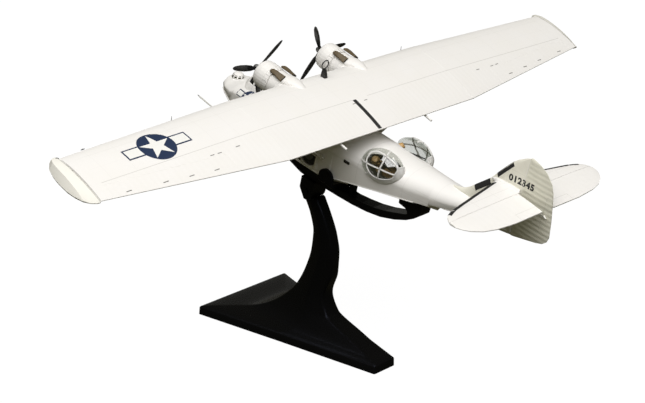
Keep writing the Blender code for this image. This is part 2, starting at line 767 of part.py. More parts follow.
def tailplane_ring(side, x, lead, trail, half):
    steps = 7
    upper = []
    for k in range(steps + 1):
        s = (1 + math.cos(math.pi * k / steps)) / 2
        width = half * min(1.0, 1.9 * math.sqrt(s) * (1.05 - s)) + 0.15
        upper.append((side * x, lead + (trail - lead) * s, width))
    lower = [(px, y, -z) for px, y, z in reversed(upper[:-1])]
    upper[-1] = (side * x, lead, 0.0)
    return [(px, y, z + TAILPLANE_Z) for px, y, z in upper + lower]


def build_tailplane():
    for name, side in SIDES:
        rings = [tailplane_ring(side, *station) for station in TAILPLANE_STATIONS]
        inner = min(side * 2.0, side * 80.0)
        outer = max(side * 2.0, side * 80.0)
        tail = loft(f"tailplane_{name}", rings, AIRCRAFT, WHITE)
        front = box(f"tailplane_keep_{name}", (inner, 140.0, 0.0), (outer, ELEVATOR_HINGE_Y - FIT, 12.0),
                    AIRCRAFT)
        boolean(tail, front, "INTERSECT")
        elevator = loft(f"elevator_{name}", rings, AIRCRAFT, WHITE)
        inner = min(side * ELEVATOR_ROOT, side * 80.0)
        outer = max(side * ELEVATOR_ROOT, side * 80.0)
        back = box(f"elevator_keep_{name}", (inner, ELEVATOR_HINGE_Y, 0.0), (outer, 200.0, 12.0), AIRCRAFT)
        boolean(elevator, back, "INTERSECT")


def off_rib(angle):
    """Degrees from the middle of the nearest rib."""
    return min(abs((angle - rib + 180.0) % 360.0 - 180.0) for rib in RIB_ANGLES)


def blister_shell(name, side, grow, thickness, ribs, finish):
    """The blister's bubble as a shell: all of it, or only its ribs and rim."""
    edges = [rib + s * RIB_HALF for rib in RIB_ANGLES for s in (-1, 1)]
    between = [k * 10.0 for k in range(36)]
    around = sorted((a % 360.0) for a in edges + [b for b in between if not ribs or off_rib(b) > RIB_HALF])
    downs = (5.0, 18.0, 32.0, RIM_FROM, 58.0, 70.0, 83.0, 96.0)
    rx, ry, rz = (r + grow for r in BLISTER_RADII)
    bm = bmesh.new()
    turn = blister_turn(1)
    middle = Vector(BLISTER_CENTRE)
    crown = turn @ Vector((rx, 0.0, 0.0)) + middle
    pole = bm.verts.new((side * crown.x, crown.y, crown.z))
    rows = []
    for down in downs:
        d = math.radians(down)
        row = []
        for a in around:
            spot = turn @ Vector((rx * math.cos(d), ry * math.sin(d) * math.cos(math.radians(a)),
                                  rz * math.sin(d) * math.sin(math.radians(a)))) + middle
            row.append(bm.verts.new((side * spot.x, spot.y, spot.z)))
        rows.append(row)
    count = len(around)
    for k in range(count):
        n = (k + 1) % count
        halfway = around[k] + ((around[n] - around[k]) % 360.0) / 2
        bm.faces.new((pole, rows[0][k], rows[0][n]))
        for down, row, next_row in zip(downs[1:], rows, rows[1:]):
            if not ribs or off_rib(halfway) < RIB_HALF or down > RIM_FROM:
                bm.faces.new((row[k], next_row[k], next_row[n], row[n]))
    loose = [v for v in bm.verts if not v.link_faces]
    bmesh.ops.delete(bm, geom=loose, context="VERTS")
    shell = add_object(name, bm, AIRCRAFT, finish)
    solid = shell.modifiers.new("wall", "SOLIDIFY")
    solid.thickness = thickness * MM
    solid.offset = -1.0
    return shell


def build_blisters(hull_cut):
    for name, side in SIDES:
        glass = blister_shell(f"blister_glass_{name}", side, 0.0, BLISTER_WALL, False, GLASS)
        boolean(glass, hull_cut)
        frame = blister_shell(f"blister_frame_{name}", side, FRAME_LIFT, FRAME_THICKNESS, True, WHITE)
        boolean(frame, hull_cut)


def build_stand():
    rings = []
    for z, front, front_half, ridge, ridge_half, rear, rear_half in PEDESTAL_LEVELS:
        rings.append([(front_half, front, z), (ridge_half, ridge, z), (rear_half, rear, z),
                      (-rear_half, rear, z), (-ridge_half, ridge, z), (-front_half, front, z)])
    pedestal = loft("stand_pedestal", rings, None, BLACK_PLASTIC)
    y, z = KNUCKLE_CENTRE
    socket = cylinder("knuckle_socket_cut", (0.0, y, z), (1, 0, 0), KNUCKLE_RADIUS + FIT, 30.0, None)
    boolean(pedestal, socket)
    top = (math.sin(HULL_PITCH), math.cos(HULL_PITCH))
    outline = [(y + KNUCKLE_RADIUS * math.cos(a), z + KNUCKLE_RADIUS * math.sin(a))
               for a in (math.pi * (1.0 + k / 12) - HULL_PITCH for k in range(13))]
    for corner in (outline[-1], outline[0]):
        outline.append((corner[0] + top[0] * KNUCKLE_RISE, corner[1] + top[1] * KNUCKLE_RISE))
    knuckle = plate("stand_knuckle", outline, KNUCKLE_HALF, None, BLACK_PLASTIC)
    boolean(knuckle, cylinder("pin_hole_cut", (0.0, y, z), (1, 0, 0), PIN_RADIUS + FIT, 30.0, None))
    cylinder("stand_pin", (0.0, y, z), (1, 0, 0), PIN_RADIUS, PIN_LENGTH, None, BLACK_PLASTIC, segments=20)


def build_cradle(hull_cut):
    """A long bow under the hull that carries the keel in front and the tail on a raised pad."""
    bow = plate("cradle_bow", CRADLE_OUTLINE, CRADLE_HALF, AIRCRAFT, BLACK_PLASTIC)
    boolean(bow, hull_cut)
    pad = plate("cradle_pad_mid", MID_PAD_OUTLINE, MID_PAD_HALF, AIRCRAFT, BLACK_PLASTIC)
    boolean(pad, hull_cut)
    build_claw()


def build_claw():
    """A yoke across the cradle whose two claws hold the chines, drawn in the section plane."""
    rings = []
    for y, top in CLAW_RINGS:
        half = CLAW_INNER + tuple((x, top) for x in CLAW_TIP_X) + CLAW_OUTER
        ring = half + tuple((-x, z) for x, z in reversed(half[1:-1]))
        sweep = [CLAW_SWEEP * max(0.0, 1.0 - abs(x) / CLAW_INNER[1][0]) for x, z in ring]
        rings.append([(x, y - back, z) for (x, z), back in zip(ring, sweep)])
    loft("cradle_claw", rings, AIRCRAFT, BLACK_PLASTIC)


def build_fittings(wing_cut):
    post = plate("loop_aerial_foot", LOOP_FOOT_OUTLINE, 1.2, AIRCRAFT, BLACK_PLASTIC)
    post.location.x = LOOP_X * MM
    boolean(post, wing_cut)
    ring = turned("loop_aerial", ((2.9, -0.5), (3.3, 0.0), (2.9, 0.5), (2.5, 0.0)), AIRCRAFT, BLACK_PLASTIC,
                  (LOOP_X, LOOP_Y, LOOP_Z), steps=24, closed=True)
    ring.rotation_euler = (math.pi / 2, 0.0, 0.0)
    lead = wing_lead(PITOT_X) - FIT
    cylinder("pitot_boom", (PITOT_X, lead - PITOT_LENGTH / 2, 0.0), (0, -1, 0), 0.5, PITOT_LENGTH, WING_RIG,
             WHITE, segments=12)
    for name, side in SIDES:
        front, back = (Vector((side * DUMP_PIPE_X, y, z)) for y, z in DUMP_PIPE_ENDS)
        pipe = cylinder(f"dump_pipe_{name}", (front + back) / 2, back - front, DUMP_PIPE_RADIUS,
                        (back - front).length, WING_RIG, WHITE, segments=12)
        boolean(pipe, wing_cut)


def build_all():
    hull_cut = hull_body("hull_envelope_cut", FIT)
    wing_cut = loft("wing_envelope_cut", [wing_section(x, FIT) for x in (-KINK_X - 1.0, KINK_X + 1.0)], WING_RIG)
    build_hull()
    build_wheels()
    build_turret(hull_cut)
    build_canopy(hull_cut)
    build_pylon(hull_cut, wing_cut)
    build_wing()
    build_tip_floats()
    build_struts(hull_cut, wing_cut)
    build_engines(wing_cut)
    build_fin(hull_cut)
    build_tailplane()
    build_blisters(hull_cut)
    build_stand()
    build_cradle(hull_cut)
    build_fittings(wing_cut)


build_all()
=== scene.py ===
import math
import bmesh
import bpy
from mathutils import Matrix, Vector
from mathutils.bvhtree import BVHTree


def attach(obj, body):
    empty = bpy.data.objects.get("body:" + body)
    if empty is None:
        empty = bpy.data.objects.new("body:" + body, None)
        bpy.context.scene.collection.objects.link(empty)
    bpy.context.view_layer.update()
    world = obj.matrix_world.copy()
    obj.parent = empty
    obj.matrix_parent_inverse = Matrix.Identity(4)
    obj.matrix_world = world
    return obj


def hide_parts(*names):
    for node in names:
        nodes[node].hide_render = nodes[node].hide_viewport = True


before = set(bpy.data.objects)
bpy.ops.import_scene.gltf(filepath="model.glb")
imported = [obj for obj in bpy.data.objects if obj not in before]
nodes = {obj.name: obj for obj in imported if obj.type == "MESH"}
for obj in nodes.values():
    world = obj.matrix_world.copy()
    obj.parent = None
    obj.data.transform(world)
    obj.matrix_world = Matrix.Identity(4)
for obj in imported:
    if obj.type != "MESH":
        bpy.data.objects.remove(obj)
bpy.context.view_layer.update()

# The model stands in a white studio. One large soft light hangs above it on its port side, and a weak warm
# fill comes from all round. The floor and the wall glow evenly and throw no light on the model.
scene = bpy.context.scene
scene.view_settings.view_transform = "Standard"

camera_data = bpy.data.cameras.new("camera")
camera_data.lens = 96.3
camera_data.sensor_width = 36.0
camera_data.clip_start = 0.05
camera = bpy.data.objects.new("camera", camera_data)
scene.collection.objects.link(camera)
right = Vector((-0.70503, 0.70767, 0.04617))
up = Vector((-0.25725, -0.31588, 0.91326))
look = right.cross(up)
camera.matrix_world = (Matrix.Translation((0.75431, 0.72966, 0.56154))
                       @ Matrix((right, up, look)).transposed().to_4x4())
scene.camera = camera

world = bpy.data.worlds.new("studio")
scene.world = world
world.use_nodes = True
world.node_tree.nodes["Background"].inputs["Color"].default_value = (1.0, 0.93, 0.54, 1)
world.node_tree.nodes["Background"].inputs["Strength"].default_value = 0.071


def soft_light(name, width, height, energy, spot, aim):
    """A rectangular light at a spot, turned to face what it is aimed at."""
    data = bpy.data.lights.new(name, "AREA")
    data.shape = "RECTANGLE"
    data.size = width
    data.size_y = height
    data.energy = energy
    lamp = bpy.data.objects.new(name, data)
    scene.collection.objects.link(lamp)
    lamp.location = spot
    lamp.rotation_euler = (lamp.location - Vector(aim)).to_track_quat("Z", "Y").to_euler()
    return data


def turns(count):
    """Evenly spaced angles, once round."""
    return [2 * math.pi * k / count for k in range(count)]


softbox = soft_light("softbox", 2.6, 2.6, 75.5, (0.74, 0.66, 2.05), (0.0, 0.0, 0.15))
softbox.color = (1.0, 0.988, 0.985)

# A low white card on the starboard bow only puts a dim sheen on the black stand.
soft_light("card", 1.6, 0.7, 0.85, (-1.3, -1.6, 0.38), (0.0, 0.0, 0.02))

FLOOR_SIDES = 48
FLOOR_REACH = 5
WALL_HEIGHT = 4
floor_mesh = bpy.data.meshes.new("floor")
ring = [(FLOOR_REACH * math.cos(a), FLOOR_REACH * math.sin(a)) for a in turns(FLOOR_SIDES)]
walls = []
for k in range(FLOOR_SIDES):
    m = (k + 1) % FLOOR_SIDES
    walls.append((k, m, m + FLOOR_SIDES, k + FLOOR_SIDES))
floor_mesh.from_pydata([(x, y, 0) for x, y in ring] + [(x, y, WALL_HEIGHT) for x, y in ring], [],
                       [list(range(FLOOR_SIDES))] + walls)
floor = bpy.data.objects.new("floor", floor_mesh)
scene.collection.objects.link(floor)
floor.visible_diffuse = False
floor.visible_glossy = False
floor.visible_transmission = False
paper = bpy.data.materials.new("white_paper")
paper.use_nodes = True
paper_shader = paper.node_tree.nodes["Principled BSDF"]
paper_shader.inputs["Base Color"].default_value = (0.05, 0.05, 0.05, 1)
paper_shader.inputs["Roughness"].default_value = 1.0
paper_shader.inputs["Emission Color"].default_value = (1, 1, 1, 1)
paper_shader.inputs["Emission Strength"].default_value = 0.97
floor_mesh.materials.append(paper)

# The hull is a slush-cast shell in white enamel, with engraved panel lines that the paint leaves greyish.
# The waist room behind the blisters and the openings into it carry painted shade, near black.
MM = 0.001
HULL_PLACE = Matrix.Translation((0, 0, 186.1)) @ Matrix.Rotation(math.radians(-10.5), 4, "X")
WING_PLACE = HULL_PLACE @ Matrix.Rotation(math.radians(-6.0), 4, "X")


def math_node(tree, operation, first, second=None, third=None):
    """One step of arithmetic in a material; each value is a number or another step's output."""
    node = tree.nodes.new("ShaderNodeMath")
    node.operation = operation
    for socket, value in zip(node.inputs, (first, second, third)):
        if value is None:
            continue
        if isinstance(value, (int, float)):
            socket.default_value = value
        else:
            tree.links.new(value, socket)
    return node.outputs[0]


def local_axes(tree, place):
    """Millimetres in the hull's or the wing's own frame, axis by axis; |x| is the distance from the middle."""
    coordinates = tree.nodes.new("ShaderNodeTexCoord")
    mapping = tree.nodes.new("ShaderNodeMapping")
    back = place.inverted()
    mapping.inputs["Location"].default_value = back.translation
    mapping.inputs["Rotation"].default_value = back.to_euler()
    mapping.inputs["Scale"].default_value = (1000, 1000, 1000)
    tree.links.new(coordinates.outputs["Object"], mapping.inputs["Vector"])
    split = tree.nodes.new("ShaderNodeSeparateXYZ")
    tree.links.new(mapping.outputs["Vector"], split.inputs["Vector"])
    x, y, z = split.outputs
    return mapping.outputs["Vector"], {"x": x, "y": y, "z": z, "|x|": math_node(tree, "ABSOLUTE", x)}


def between(tree, value, low, high, soft=0.05):
    """One inside a span and nought outside it, with a soft edge."""
    rise = math_node(tree, "DIVIDE", math_node(tree, "SUBTRACT", value, low), soft)
    fall = math_node(tree, "DIVIDE", math_node(tree, "SUBTRACT", high, value), soft)
    both = math_node(tree, "MINIMUM", rise, fall)
    return math_node(tree, "MAXIMUM", math_node(tree, "MINIMUM", both, 1.0), 0.0)


def kept_to(tree, mask, axes, spans, soft=0.05):
    """Keeps a mask to spans along the named axes."""
    for axis, (low, high) in spans.items():
        mask = math_node(tree, "MULTIPLY", mask, between(tree, axes[axis], low, high, soft))
    return mask


def groove_mask(tree, axes, grooves):
    """Joins engraved lines, each given by an axis, a place, a width, a strength and the spans it keeps to."""
    total = None
    for axis, at, width, strength, spans in grooves:
        line = between(tree, axes[axis], at - width / 2, at + width / 2, 0.08)
        line = kept_to(tree, math_node(tree, "MULTIPLY", line, strength), axes, spans)
        total = line if total is None else math_node(tree, "MAXIMUM", total, line)
    return total


def blended(tree, share, paint, other):
    """Mixes another colour into a paint, which is a plain colour or comes from an earlier mix."""
    mix = tree.nodes.new("ShaderNodeMix")
    mix.data_type = "RGBA"
    tree.links.new(share, mix.inputs["Factor"])
    if isinstance(paint, tuple):
        mix.inputs[6].default_value = (*paint, 1)
    else:
        tree.links.new(paint, mix.inputs[6])
    mix.inputs[7].default_value = (*other, 1)
    return mix.outputs[2]


def enamel(name, place, grooves=(), colour=(0.86, 0.85, 0.84), ribs=None, shadow=None):
    """White enamel with fine orange peel, faint toning, engraved lines, ribs under fabric with painted shade along
    them, and painted shade over a region, where asked.
    """
    mat = bpy.data.materials.new(name)
    mat.use_nodes = True
    tree = mat.node_tree
    shader = tree.nodes["Principled BSDF"]
    vector, axes = local_axes(tree, place)
    cloud = tree.nodes.new("ShaderNodeTexNoise")
    cloud.inputs["Scale"].default_value = 0.045
    cloud.inputs["Detail"].default_value = 5.0
    tree.links.new(vector, cloud.inputs["Vector"])
    toned = tuple(c * s for c, s in zip(colour, (0.95, 0.94, 0.90)))
    paint = blended(tree, math_node(tree, "MULTIPLY", cloud.outputs["Fac"], 0.8), colour, toned)
    peel = tree.nodes.new("ShaderNodeTexNoise")
    peel.inputs["Scale"].default_value = 1.6
    peel.inputs["Detail"].default_value = 3.0
    tree.links.new(vector, peel.inputs["Vector"])
    height = math_node(tree, "MULTIPLY", peel.outputs["Fac"], 0.05)
    mask = groove_mask(tree, axes, grooves)
    if mask is not None:
        paint = blended(tree, mask, paint, (0.30, 0.29, 0.26))
        height = math_node(tree, "ADD", height, math_node(tree, "MULTIPLY", mask, -0.6))
    if ribs is not None:
        axis, spacing, depth, spans = ribs
        wave = math_node(tree, "COSINE", math_node(tree, "MULTIPLY", axes[axis], 2 * math.pi / spacing))
        rib = math_node(tree, "MULTIPLY", math_node(tree, "MULTIPLY_ADD", wave, 0.5, 0.5), depth)
        rib = kept_to(tree, rib, axes, spans)
        height = math_node(tree, "ADD", height, rib)
        # Darker bands along the ribs are painted shade.
        rib_shade = tuple(c * s for c, s in zip(colour, (0.80, 0.80, 0.74)))
        paint = blended(tree, math_node(tree, "MULTIPLY", rib, 0.30), paint, rib_shade)
    # Painted shade, near black, covers what the shadow mask covers.
    if shadow is not None:
        paint = blended(tree, shadow(tree, axes), paint, (0.020, 0.022, 0.018))
    tree.links.new(paint, shader.inputs["Base Color"])
    bump = tree.nodes.new("ShaderNodeBump")
    bump.inputs["Strength"].default_value = 0.5
    bump.inputs["Distance"].default_value = 0.00025
    tree.links.new(height, bump.inputs["Height"])
    tree.links.new(bump.outputs["Normal"], shader.inputs["Normal"])
    rough = math_node(tree, "ADD", math_node(tree, "MULTIPLY", cloud.outputs["Fac"], 0.14), 0.36)
    tree.links.new(rough, shader.inputs["Roughness"])
    shader.inputs["Specular IOR Level"].default_value = 0.35
    return mat


def dress(node, mat):
    """Paints one node of the solid model."""
    mesh = nodes[node].data
    mesh.materials.clear()
    mesh.materials.append(mat)


CASTING_EDGE = math.radians(34.0)
WELD_GAP = 0.000005


def moulded(node, move=None):
    """The node's own shape with a casting's smooth skin: curves shade as one, flats stay flat, edges crisp."""
    bm = bmesh.new()
    bm.from_mesh(nodes[node].data)
    bmesh.ops.remove_doubles(bm, verts=bm.verts, dist=WELD_GAP)
    index = {vert: k for k, vert in enumerate(bm.verts)}
    mesh = bpy.data.meshes.new(f"{node}_moulding")
    spots = [vert.co.copy() if move is None else move(vert.co / MM) * MM for vert in bm.verts]
    mesh.from_pydata(spots, [], [[index[v] for v in face.verts] for face in bm.faces])
    bm.free()
    mesh.shade_smooth()
    mesh.set_sharp_from_angle(angle=CASTING_EDGE)
    holder = bpy.data.objects.new("holder", mesh)
    scene.collection.objects.link(holder)
    weighted = holder.modifiers.new("flats", "WEIGHTED_NORMAL")
    weighted.keep_sharp = True
    mesh = bpy.data.meshes.new_from_object(holder.evaluated_get(bpy.context.evaluated_depsgraph_get()))
    bpy.data.objects.remove(holder)
    mesh.name = f"{node}_moulding"
    mesh.materials.clear()
    mesh.materials.append(nodes[node].data.materials[0])
    piece = bpy.data.objects.new(f"{node}_moulding", mesh)
    scene.collection.objects.link(piece)
    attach(piece, "model")
    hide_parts(node)
    return piece


hull_grooves = [
    ("y", -57.0, 0.30, 0.4, {"z": (-60, -36)}),
    ("y", -35.0, 0.30, 0.4, {"z": (-60, -28)}),
    ("y", -12.0, 0.25, 0.3, {}),
    ("y", 5.0, 0.25, 0.3, {"z": (-60, -30)}),
    ("y", 62.4, 0.30, 0.3, {}),
    ("y", 97.6, 0.30, 0.16, {}),
    ("y", 120.5, 0.25, 0.14, {}),
    ("y", 143.0, 0.25, 0.14, {}),
    ("y", 163.5, 0.30, 0.25, {}),
    ("z", -31.0, 0.25, 0.35, {"y": (-57, 62)}),
    ("z", -24.4, 0.25, 0.30, {"y": (106, 171)}),
    ("z", -29.5, 0.25, 0.30, {"y": (96, 134)}),
]
WAIST_ROOM = {"|x|": (-1, 13.05), "y": (67.95, 93.05), "z": (-32.45, -20.95)}
WAIST_OPENING = (6.4, 13.6, 8.6)
BLISTER_MIDDLE = (14.4, 78.0, -22.2)
BLISTER_TURN = (Matrix.Rotation(math.radians(6.0), 3, "Z") @ Matrix.Rotation(math.radians(5.0), 3, "X")
                @ Matrix.Rotation(math.radians(-12.0), 3, "Y"))


def waist_shadow(tree, axes):
    """Covers the waist room and the two rounded openings that the blisters stand in, which take painted shade."""
    room = kept_to(tree, 1.0, axes, WAIST_ROOM, 0.02)
    offset = tree.nodes.new("ShaderNodeCombineXYZ")
    for axis, middle, socket in zip(("|x|", "y", "z"), BLISTER_MIDDLE, offset.inputs):
        tree.links.new(math_node(tree, "SUBTRACT", axes[axis], middle), socket)
    shares = tree.nodes.new("ShaderNodeCombineXYZ")
    for row, radius, socket in zip(BLISTER_TURN.inverted(), WAIST_OPENING, shares.inputs):
        dot = tree.nodes.new("ShaderNodeVectorMath")
        dot.operation = "DOT_PRODUCT"
        tree.links.new(offset.outputs[0], dot.inputs[0])
        dot.inputs[1].default_value = row / radius
        tree.links.new(dot.outputs["Value"], socket)
    reach = tree.nodes.new("ShaderNodeVectorMath")
    reach.operation = "LENGTH"
    tree.links.new(shares.outputs[0], reach.inputs[0])
    return math_node(tree, "MAXIMUM", room, between(tree, reach.outputs["Value"], -1.0, 1.01, 0.005))


dress("hull", enamel("hull_enamel", HULL_PLACE, hull_grooves, shadow=waist_shadow))
moulded("hull")

# Rubbing strakes run along both chines, and a strip runs along the keel. They are raised lines of the hull's
# own casting, in the same enamel.
HULL_LINES = (
    # y, half beam at the chine, chine, keel
    (-78.0, 3.6, -46.2, -49.0),
    (-75.5, 7.8, -45.4, -53.5),
    (-70.0, 11.8, -45.0, -57.0),
    (-62.0, 15.3, -45.7, -59.0),
    (-57.0, 16.9, -47.1, -59.6),
    (-35.0, 19.9, -50.2, -60.0),
    (-15.0, 20.8, -51.2, -60.0),
    (20.0, 21.1, -51.0, -60.0),
    (41.6, 20.7, -50.7, -60.0),
)
SIDES = (("port", 1), ("starboard", -1))
DRAWN_EDGE = math.radians(40.0)


def on_side(side, *points):
    """Points given for the port side, or their mirror images where the side is -1."""
    return [(side * x, y, z) for x, y, z in points]


def new_piece(name, bm, mat, body="model", smooth=True):
    """A bmesh in world millimetres becomes a piece that rides on its body."""
    bmesh.ops.scale(bm, vec=(MM, MM, MM), verts=bm.verts)
    bmesh.ops.recalc_face_normals(bm, faces=bm.faces)
    mesh = bpy.data.meshes.new(name)
    bm.to_mesh(mesh)
    bm.free()
    mesh.materials.append(mat)
    piece = bpy.data.objects.new(name, mesh)
    scene.collection.objects.link(piece)
    if smooth:
        mesh.shade_smooth()
        mesh.set_sharp_from_angle(angle=DRAWN_EDGE)
    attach(piece, body)
    return piece


def join_rings(bm, rows):
    """Skins rings of one and the same count, one after the other, and closes both ends."""
    for row, next_row in zip(rows, rows[1:]):
        for k in range(len(row)):
            m = (k + 1) % len(row)
            bm.faces.new((row[k], row[m], next_row[m], next_row[k]))
    bm.faces.new(rows[0])
    bm.faces.new(list(reversed(rows[-1])))


def rod_mesh(bm, points, radii, place, sides=12, squash=1.0, flat=None):
    """A round or flattened bar through points; flat is the direction in which it is thin."""
    points = [place @ Vector(p) for p in points]
    if isinstance(radii, (int, float)):
        radii = [radii] * len(points)
    rows = []
    for k, point in enumerate(points):
        along = (points[min(k + 1, len(points) - 1)] - points[max(k - 1, 0)]).normalized()
        thin = Vector(flat) if flat is not None else Vector((0.0, 0.0, 1.0))
        thin = place.to_3x3() @ thin
        wide = along.cross(thin)
        if wide.length < 0.1:
            wide = along.cross(Vector((1.0, 0.0, 0.0)))
        wide.normalize()
        thin = wide.cross(along).normalized()
        rows.append([bm.verts.new(point + wide * radii[k] * math.cos(a) + thin * radii[k] * squash * math.sin(a))
                     for a in turns(sides)])
    join_rings(bm, rows)


def rod(name, points, radii, place, mat, slot, **shape):
    """One bar as a piece of its own."""
    bm = bmesh.new()
    rod_mesh(bm, points, radii, place, **shape)
    return new_piece(name, bm, mat)


trim_enamel = enamel("trim_enamel", HULL_PLACE)


def hull_rod(name, points, radii, **shape):
    """A bar of the hull's casting or fixed on it, in the hull's white."""
    rod(name, points, radii, HULL_PLACE, trim_enamel, "white_paint", **shape)


for side_name, side in SIDES:
    hull_rod(f"chine_strake_{side_name}", [(side * (x + 0.05), y, z) for y, x, z, keel in HULL_LINES], 0.55, sides=8)
    hull_rod(f"aft_chine_{side_name}",
             on_side(side, (20.25, 42.6, -48.5), (17.6, 80.0, -38.8), (14.6, 100.0, -34.8), (13.6, 106.0, -33.5)),
             0.35, sides=8)
    hull_rod(f"tail_chine_{side_name}",
             on_side(side, (9.5, 126.6, -27.9), (6.8, 140.0, -25.0), (3.4, 160.0, -21.8), (2.0, 169.6, -20.7)),
             0.3, sides=8)
hull_rod("keel_strip", [(0.0, y, keel + 0.1) for y, x, z, keel in HULL_LINES[1:]], 0.5, sides=8)

# The hull's windows are printed on the model as gloss black panes, on both sides and in the bow. Each lies on
# the paint and follows the hull's curve.


def skin_of(*pieces):
    """The skins of pieces in world millimetres, for printed parts to lie on."""
    verts = []
    faces = []
    for piece in pieces:
        base = len(verts)
        verts += [v.co / MM for v in piece.data.vertices]
        faces += [[base + i for i in p.vertices] for p in piece.data.polygons]
    return BVHTree.FromPolygons(verts, faces)


def flat_fill(outlines, text=None, height=1.0):
    """Fills flat outlines, holes included, or a line of plain numbers, and returns the flat mesh."""
    if text is None:
        curve = bpy.data.curves.new("outline", "CURVE")
        curve.dimensions = "2D"
        curve.fill_mode = "BOTH"
        for outline in outlines:
            spline = curve.splines.new("POLY")
            spline.points.add(len(outline) - 1)
            for point, (u, v) in zip(spline.points, outline):
                point.co = (u, v, 0.0, 1.0)
            spline.use_cyclic_u = True
    else:
        curve = bpy.data.curves.new("numbers", "FONT")
        curve.body = text
        curve.size = height
        curve.align_x = "CENTER"
        curve.align_y = "CENTER"
        curve.offset = height * 0.045
        curve.space_character = 1.12
        curve.resolution_u = 4
    holder = bpy.data.objects.new("outline", curve)
    scene.collection.objects.link(holder)
    depsgraph = bpy.context.evaluated_depsgraph_get()
    mesh = bpy.data.meshes.new_from_object(holder.evaluated_get(depsgraph))
    bpy.data.objects.remove(holder)
    return mesh


def transfer(name, outlines, place, surface, mat, lift=0.05, cell=2.0, text=None, height=1.0):
    """Lays a flat shape on the surface below it. The plane's own Z axis points away from the surface."""
    flat = flat_fill(outlines, text, height)
    bm = bmesh.new()
    bm.from_mesh(flat)
    bpy.data.meshes.remove(flat)
    bmesh.ops.remove_doubles(bm, verts=bm.verts, dist=0.0005)
    for axis, normal in enumerate((Vector((1, 0, 0)), Vector((0, 1, 0)))):
        low = min(v.co[axis] for v in bm.verts)
        high = max(v.co[axis] for v in bm.verts)
        step = low + cell
        while step < high - 0.05:
            bmesh.ops.bisect_plane(bm, geom=bm.verts[:] + bm.edges[:] + bm.faces[:], plane_co=normal * step,
                                   plane_no=normal)
            step += cell
    bmesh.ops.triangulate(bm, faces=bm.faces)
    down = -(place.to_3x3() @ Vector((0, 0, 1))).normalized()
    missed = []
    for vert in bm.verts:
        start = place @ Vector((vert.co.x, vert.co.y, 0.0))
        hit, normal, index, distance = surface.ray_cast(start, down)
        if hit is None:
            missed.append(vert)
        else:
            vert.co = hit - down * lift
    bmesh.ops.delete(bm, geom=missed, context="VERTS")
    return new_piece(name, bm, mat, smooth=False)


def plane_at(place, origin, u_axis, v_axis):
    """A plane in the hull's or the wing's frame with its own U and V axes."""
    u = Vector(u_axis).normalized()
    v = Vector(v_axis).normalized()
    w = u.cross(v)
    return place @ Matrix.Translation(origin) @ Matrix((u, v, w)).transposed().to_4x4()


def rounded(width, height, radius, centre=(0.0, 0.0)):
    """The outline of a rectangle with round corners."""
    steps = 5
    points = []
    for cx, cy, start in ((1, 1, 0), (-1, 1, 90), (-1, -1, 180), (1, -1, 270)):
        for k in range(steps + 1):
            a = math.radians(start + 90 * k / steps)
            points.append((centre[0] + cx * (width / 2 - radius) + radius * math.cos(a),
                           centre[1] + cy * (height / 2 - radius) + radius * math.sin(a)))
    return points


def finish(name, colour, roughness, metallic=0.0, spread=0.25, grain=900.0, depth=0.00004, coat=0.0,
           second=None):
    """A plain surface with its own grain: mottled colour, uneven gloss and a fine bump."""
    mat = bpy.data.materials.new(name)
    mat.use_nodes = True
    tree = mat.node_tree
    shader = tree.nodes["Principled BSDF"]
    coordinates = tree.nodes.new("ShaderNodeTexCoord")
    noise = tree.nodes.new("ShaderNodeTexNoise")
    noise.inputs["Scale"].default_value = grain
    noise.inputs["Detail"].default_value = 6.0
    tree.links.new(coordinates.outputs["Object"], noise.inputs["Vector"])
    other = second if second is not None else tuple(c * (1.0 - spread) for c in colour)
    tree.links.new(blended(tree, noise.outputs["Fac"], colour, other), shader.inputs["Base Color"])
    rough = math_node(tree, "ADD", math_node(tree, "MULTIPLY", noise.outputs["Fac"], 0.16), roughness - 0.08)
    tree.links.new(rough, shader.inputs["Roughness"])
    shader.inputs["Metallic"].default_value = metallic
    shader.inputs["Coat Weight"].default_value = coat
    bump = tree.nodes.new("ShaderNodeBump")
    bump.inputs["Strength"].default_value = 0.4
    bump.inputs["Distance"].default_value = depth
    tree.links.new(noise.outputs["Fac"], bump.inputs["Height"])
    tree.links.new(bump.outputs["Normal"], shader.inputs["Normal"])
    return mat


hull_surface = skin_of(nodes["hull"])
pane_black = finish("printed_window_black", (0.010, 0.011, 0.012), 0.12, coat=0.6, depth=0.00001)
for side_name, side in SIDES:
    for label, y, z, width, height in (("aft", 53.6, -31.2, 5.0, 2.2), ("mid", -17.0, -31.2, 4.2, 3.2)):
        plane = plane_at(HULL_PLACE, (side * 60, y, z), (0, side, 0), (0, 0, 1))
        transfer(f"hull_window_{label}_{side_name}", [rounded(width, height, 0.6)], plane, hull_surface, pane_black)
plane = plane_at(HULL_PLACE, (0, -120, -44.6), (1, 0, 0), (0, 0, 1))
transfer("bomb_aimer_window", [[(-2.6, -1.8), (2.6, -1.8), (2.2, 1.6), (-2.2, 1.6)]], plane, hull_surface,
         pane_black)

# The national insignia on the bow is a printed transfer on each side of the hull: a navy disc with a white
# star, and white bars with a navy edge.
navy = finish("insignia_navy", (0.018, 0.034, 0.085), 0.42, spread=0.15)
star_white = finish("insignia_white", (0.86, 0.86, 0.83), 0.42, spread=0.04)
STAR_WAIST = 0.382


def star(radius):
    """A five-pointed star with one point up."""
    points = []
    for k in range(10):
        a = math.radians(90.0 + 36.0 * k)
        r = radius if k % 2 == 0 else radius * STAR_WAIST
        points.append((r * math.cos(a), r * math.sin(a)))
    return points


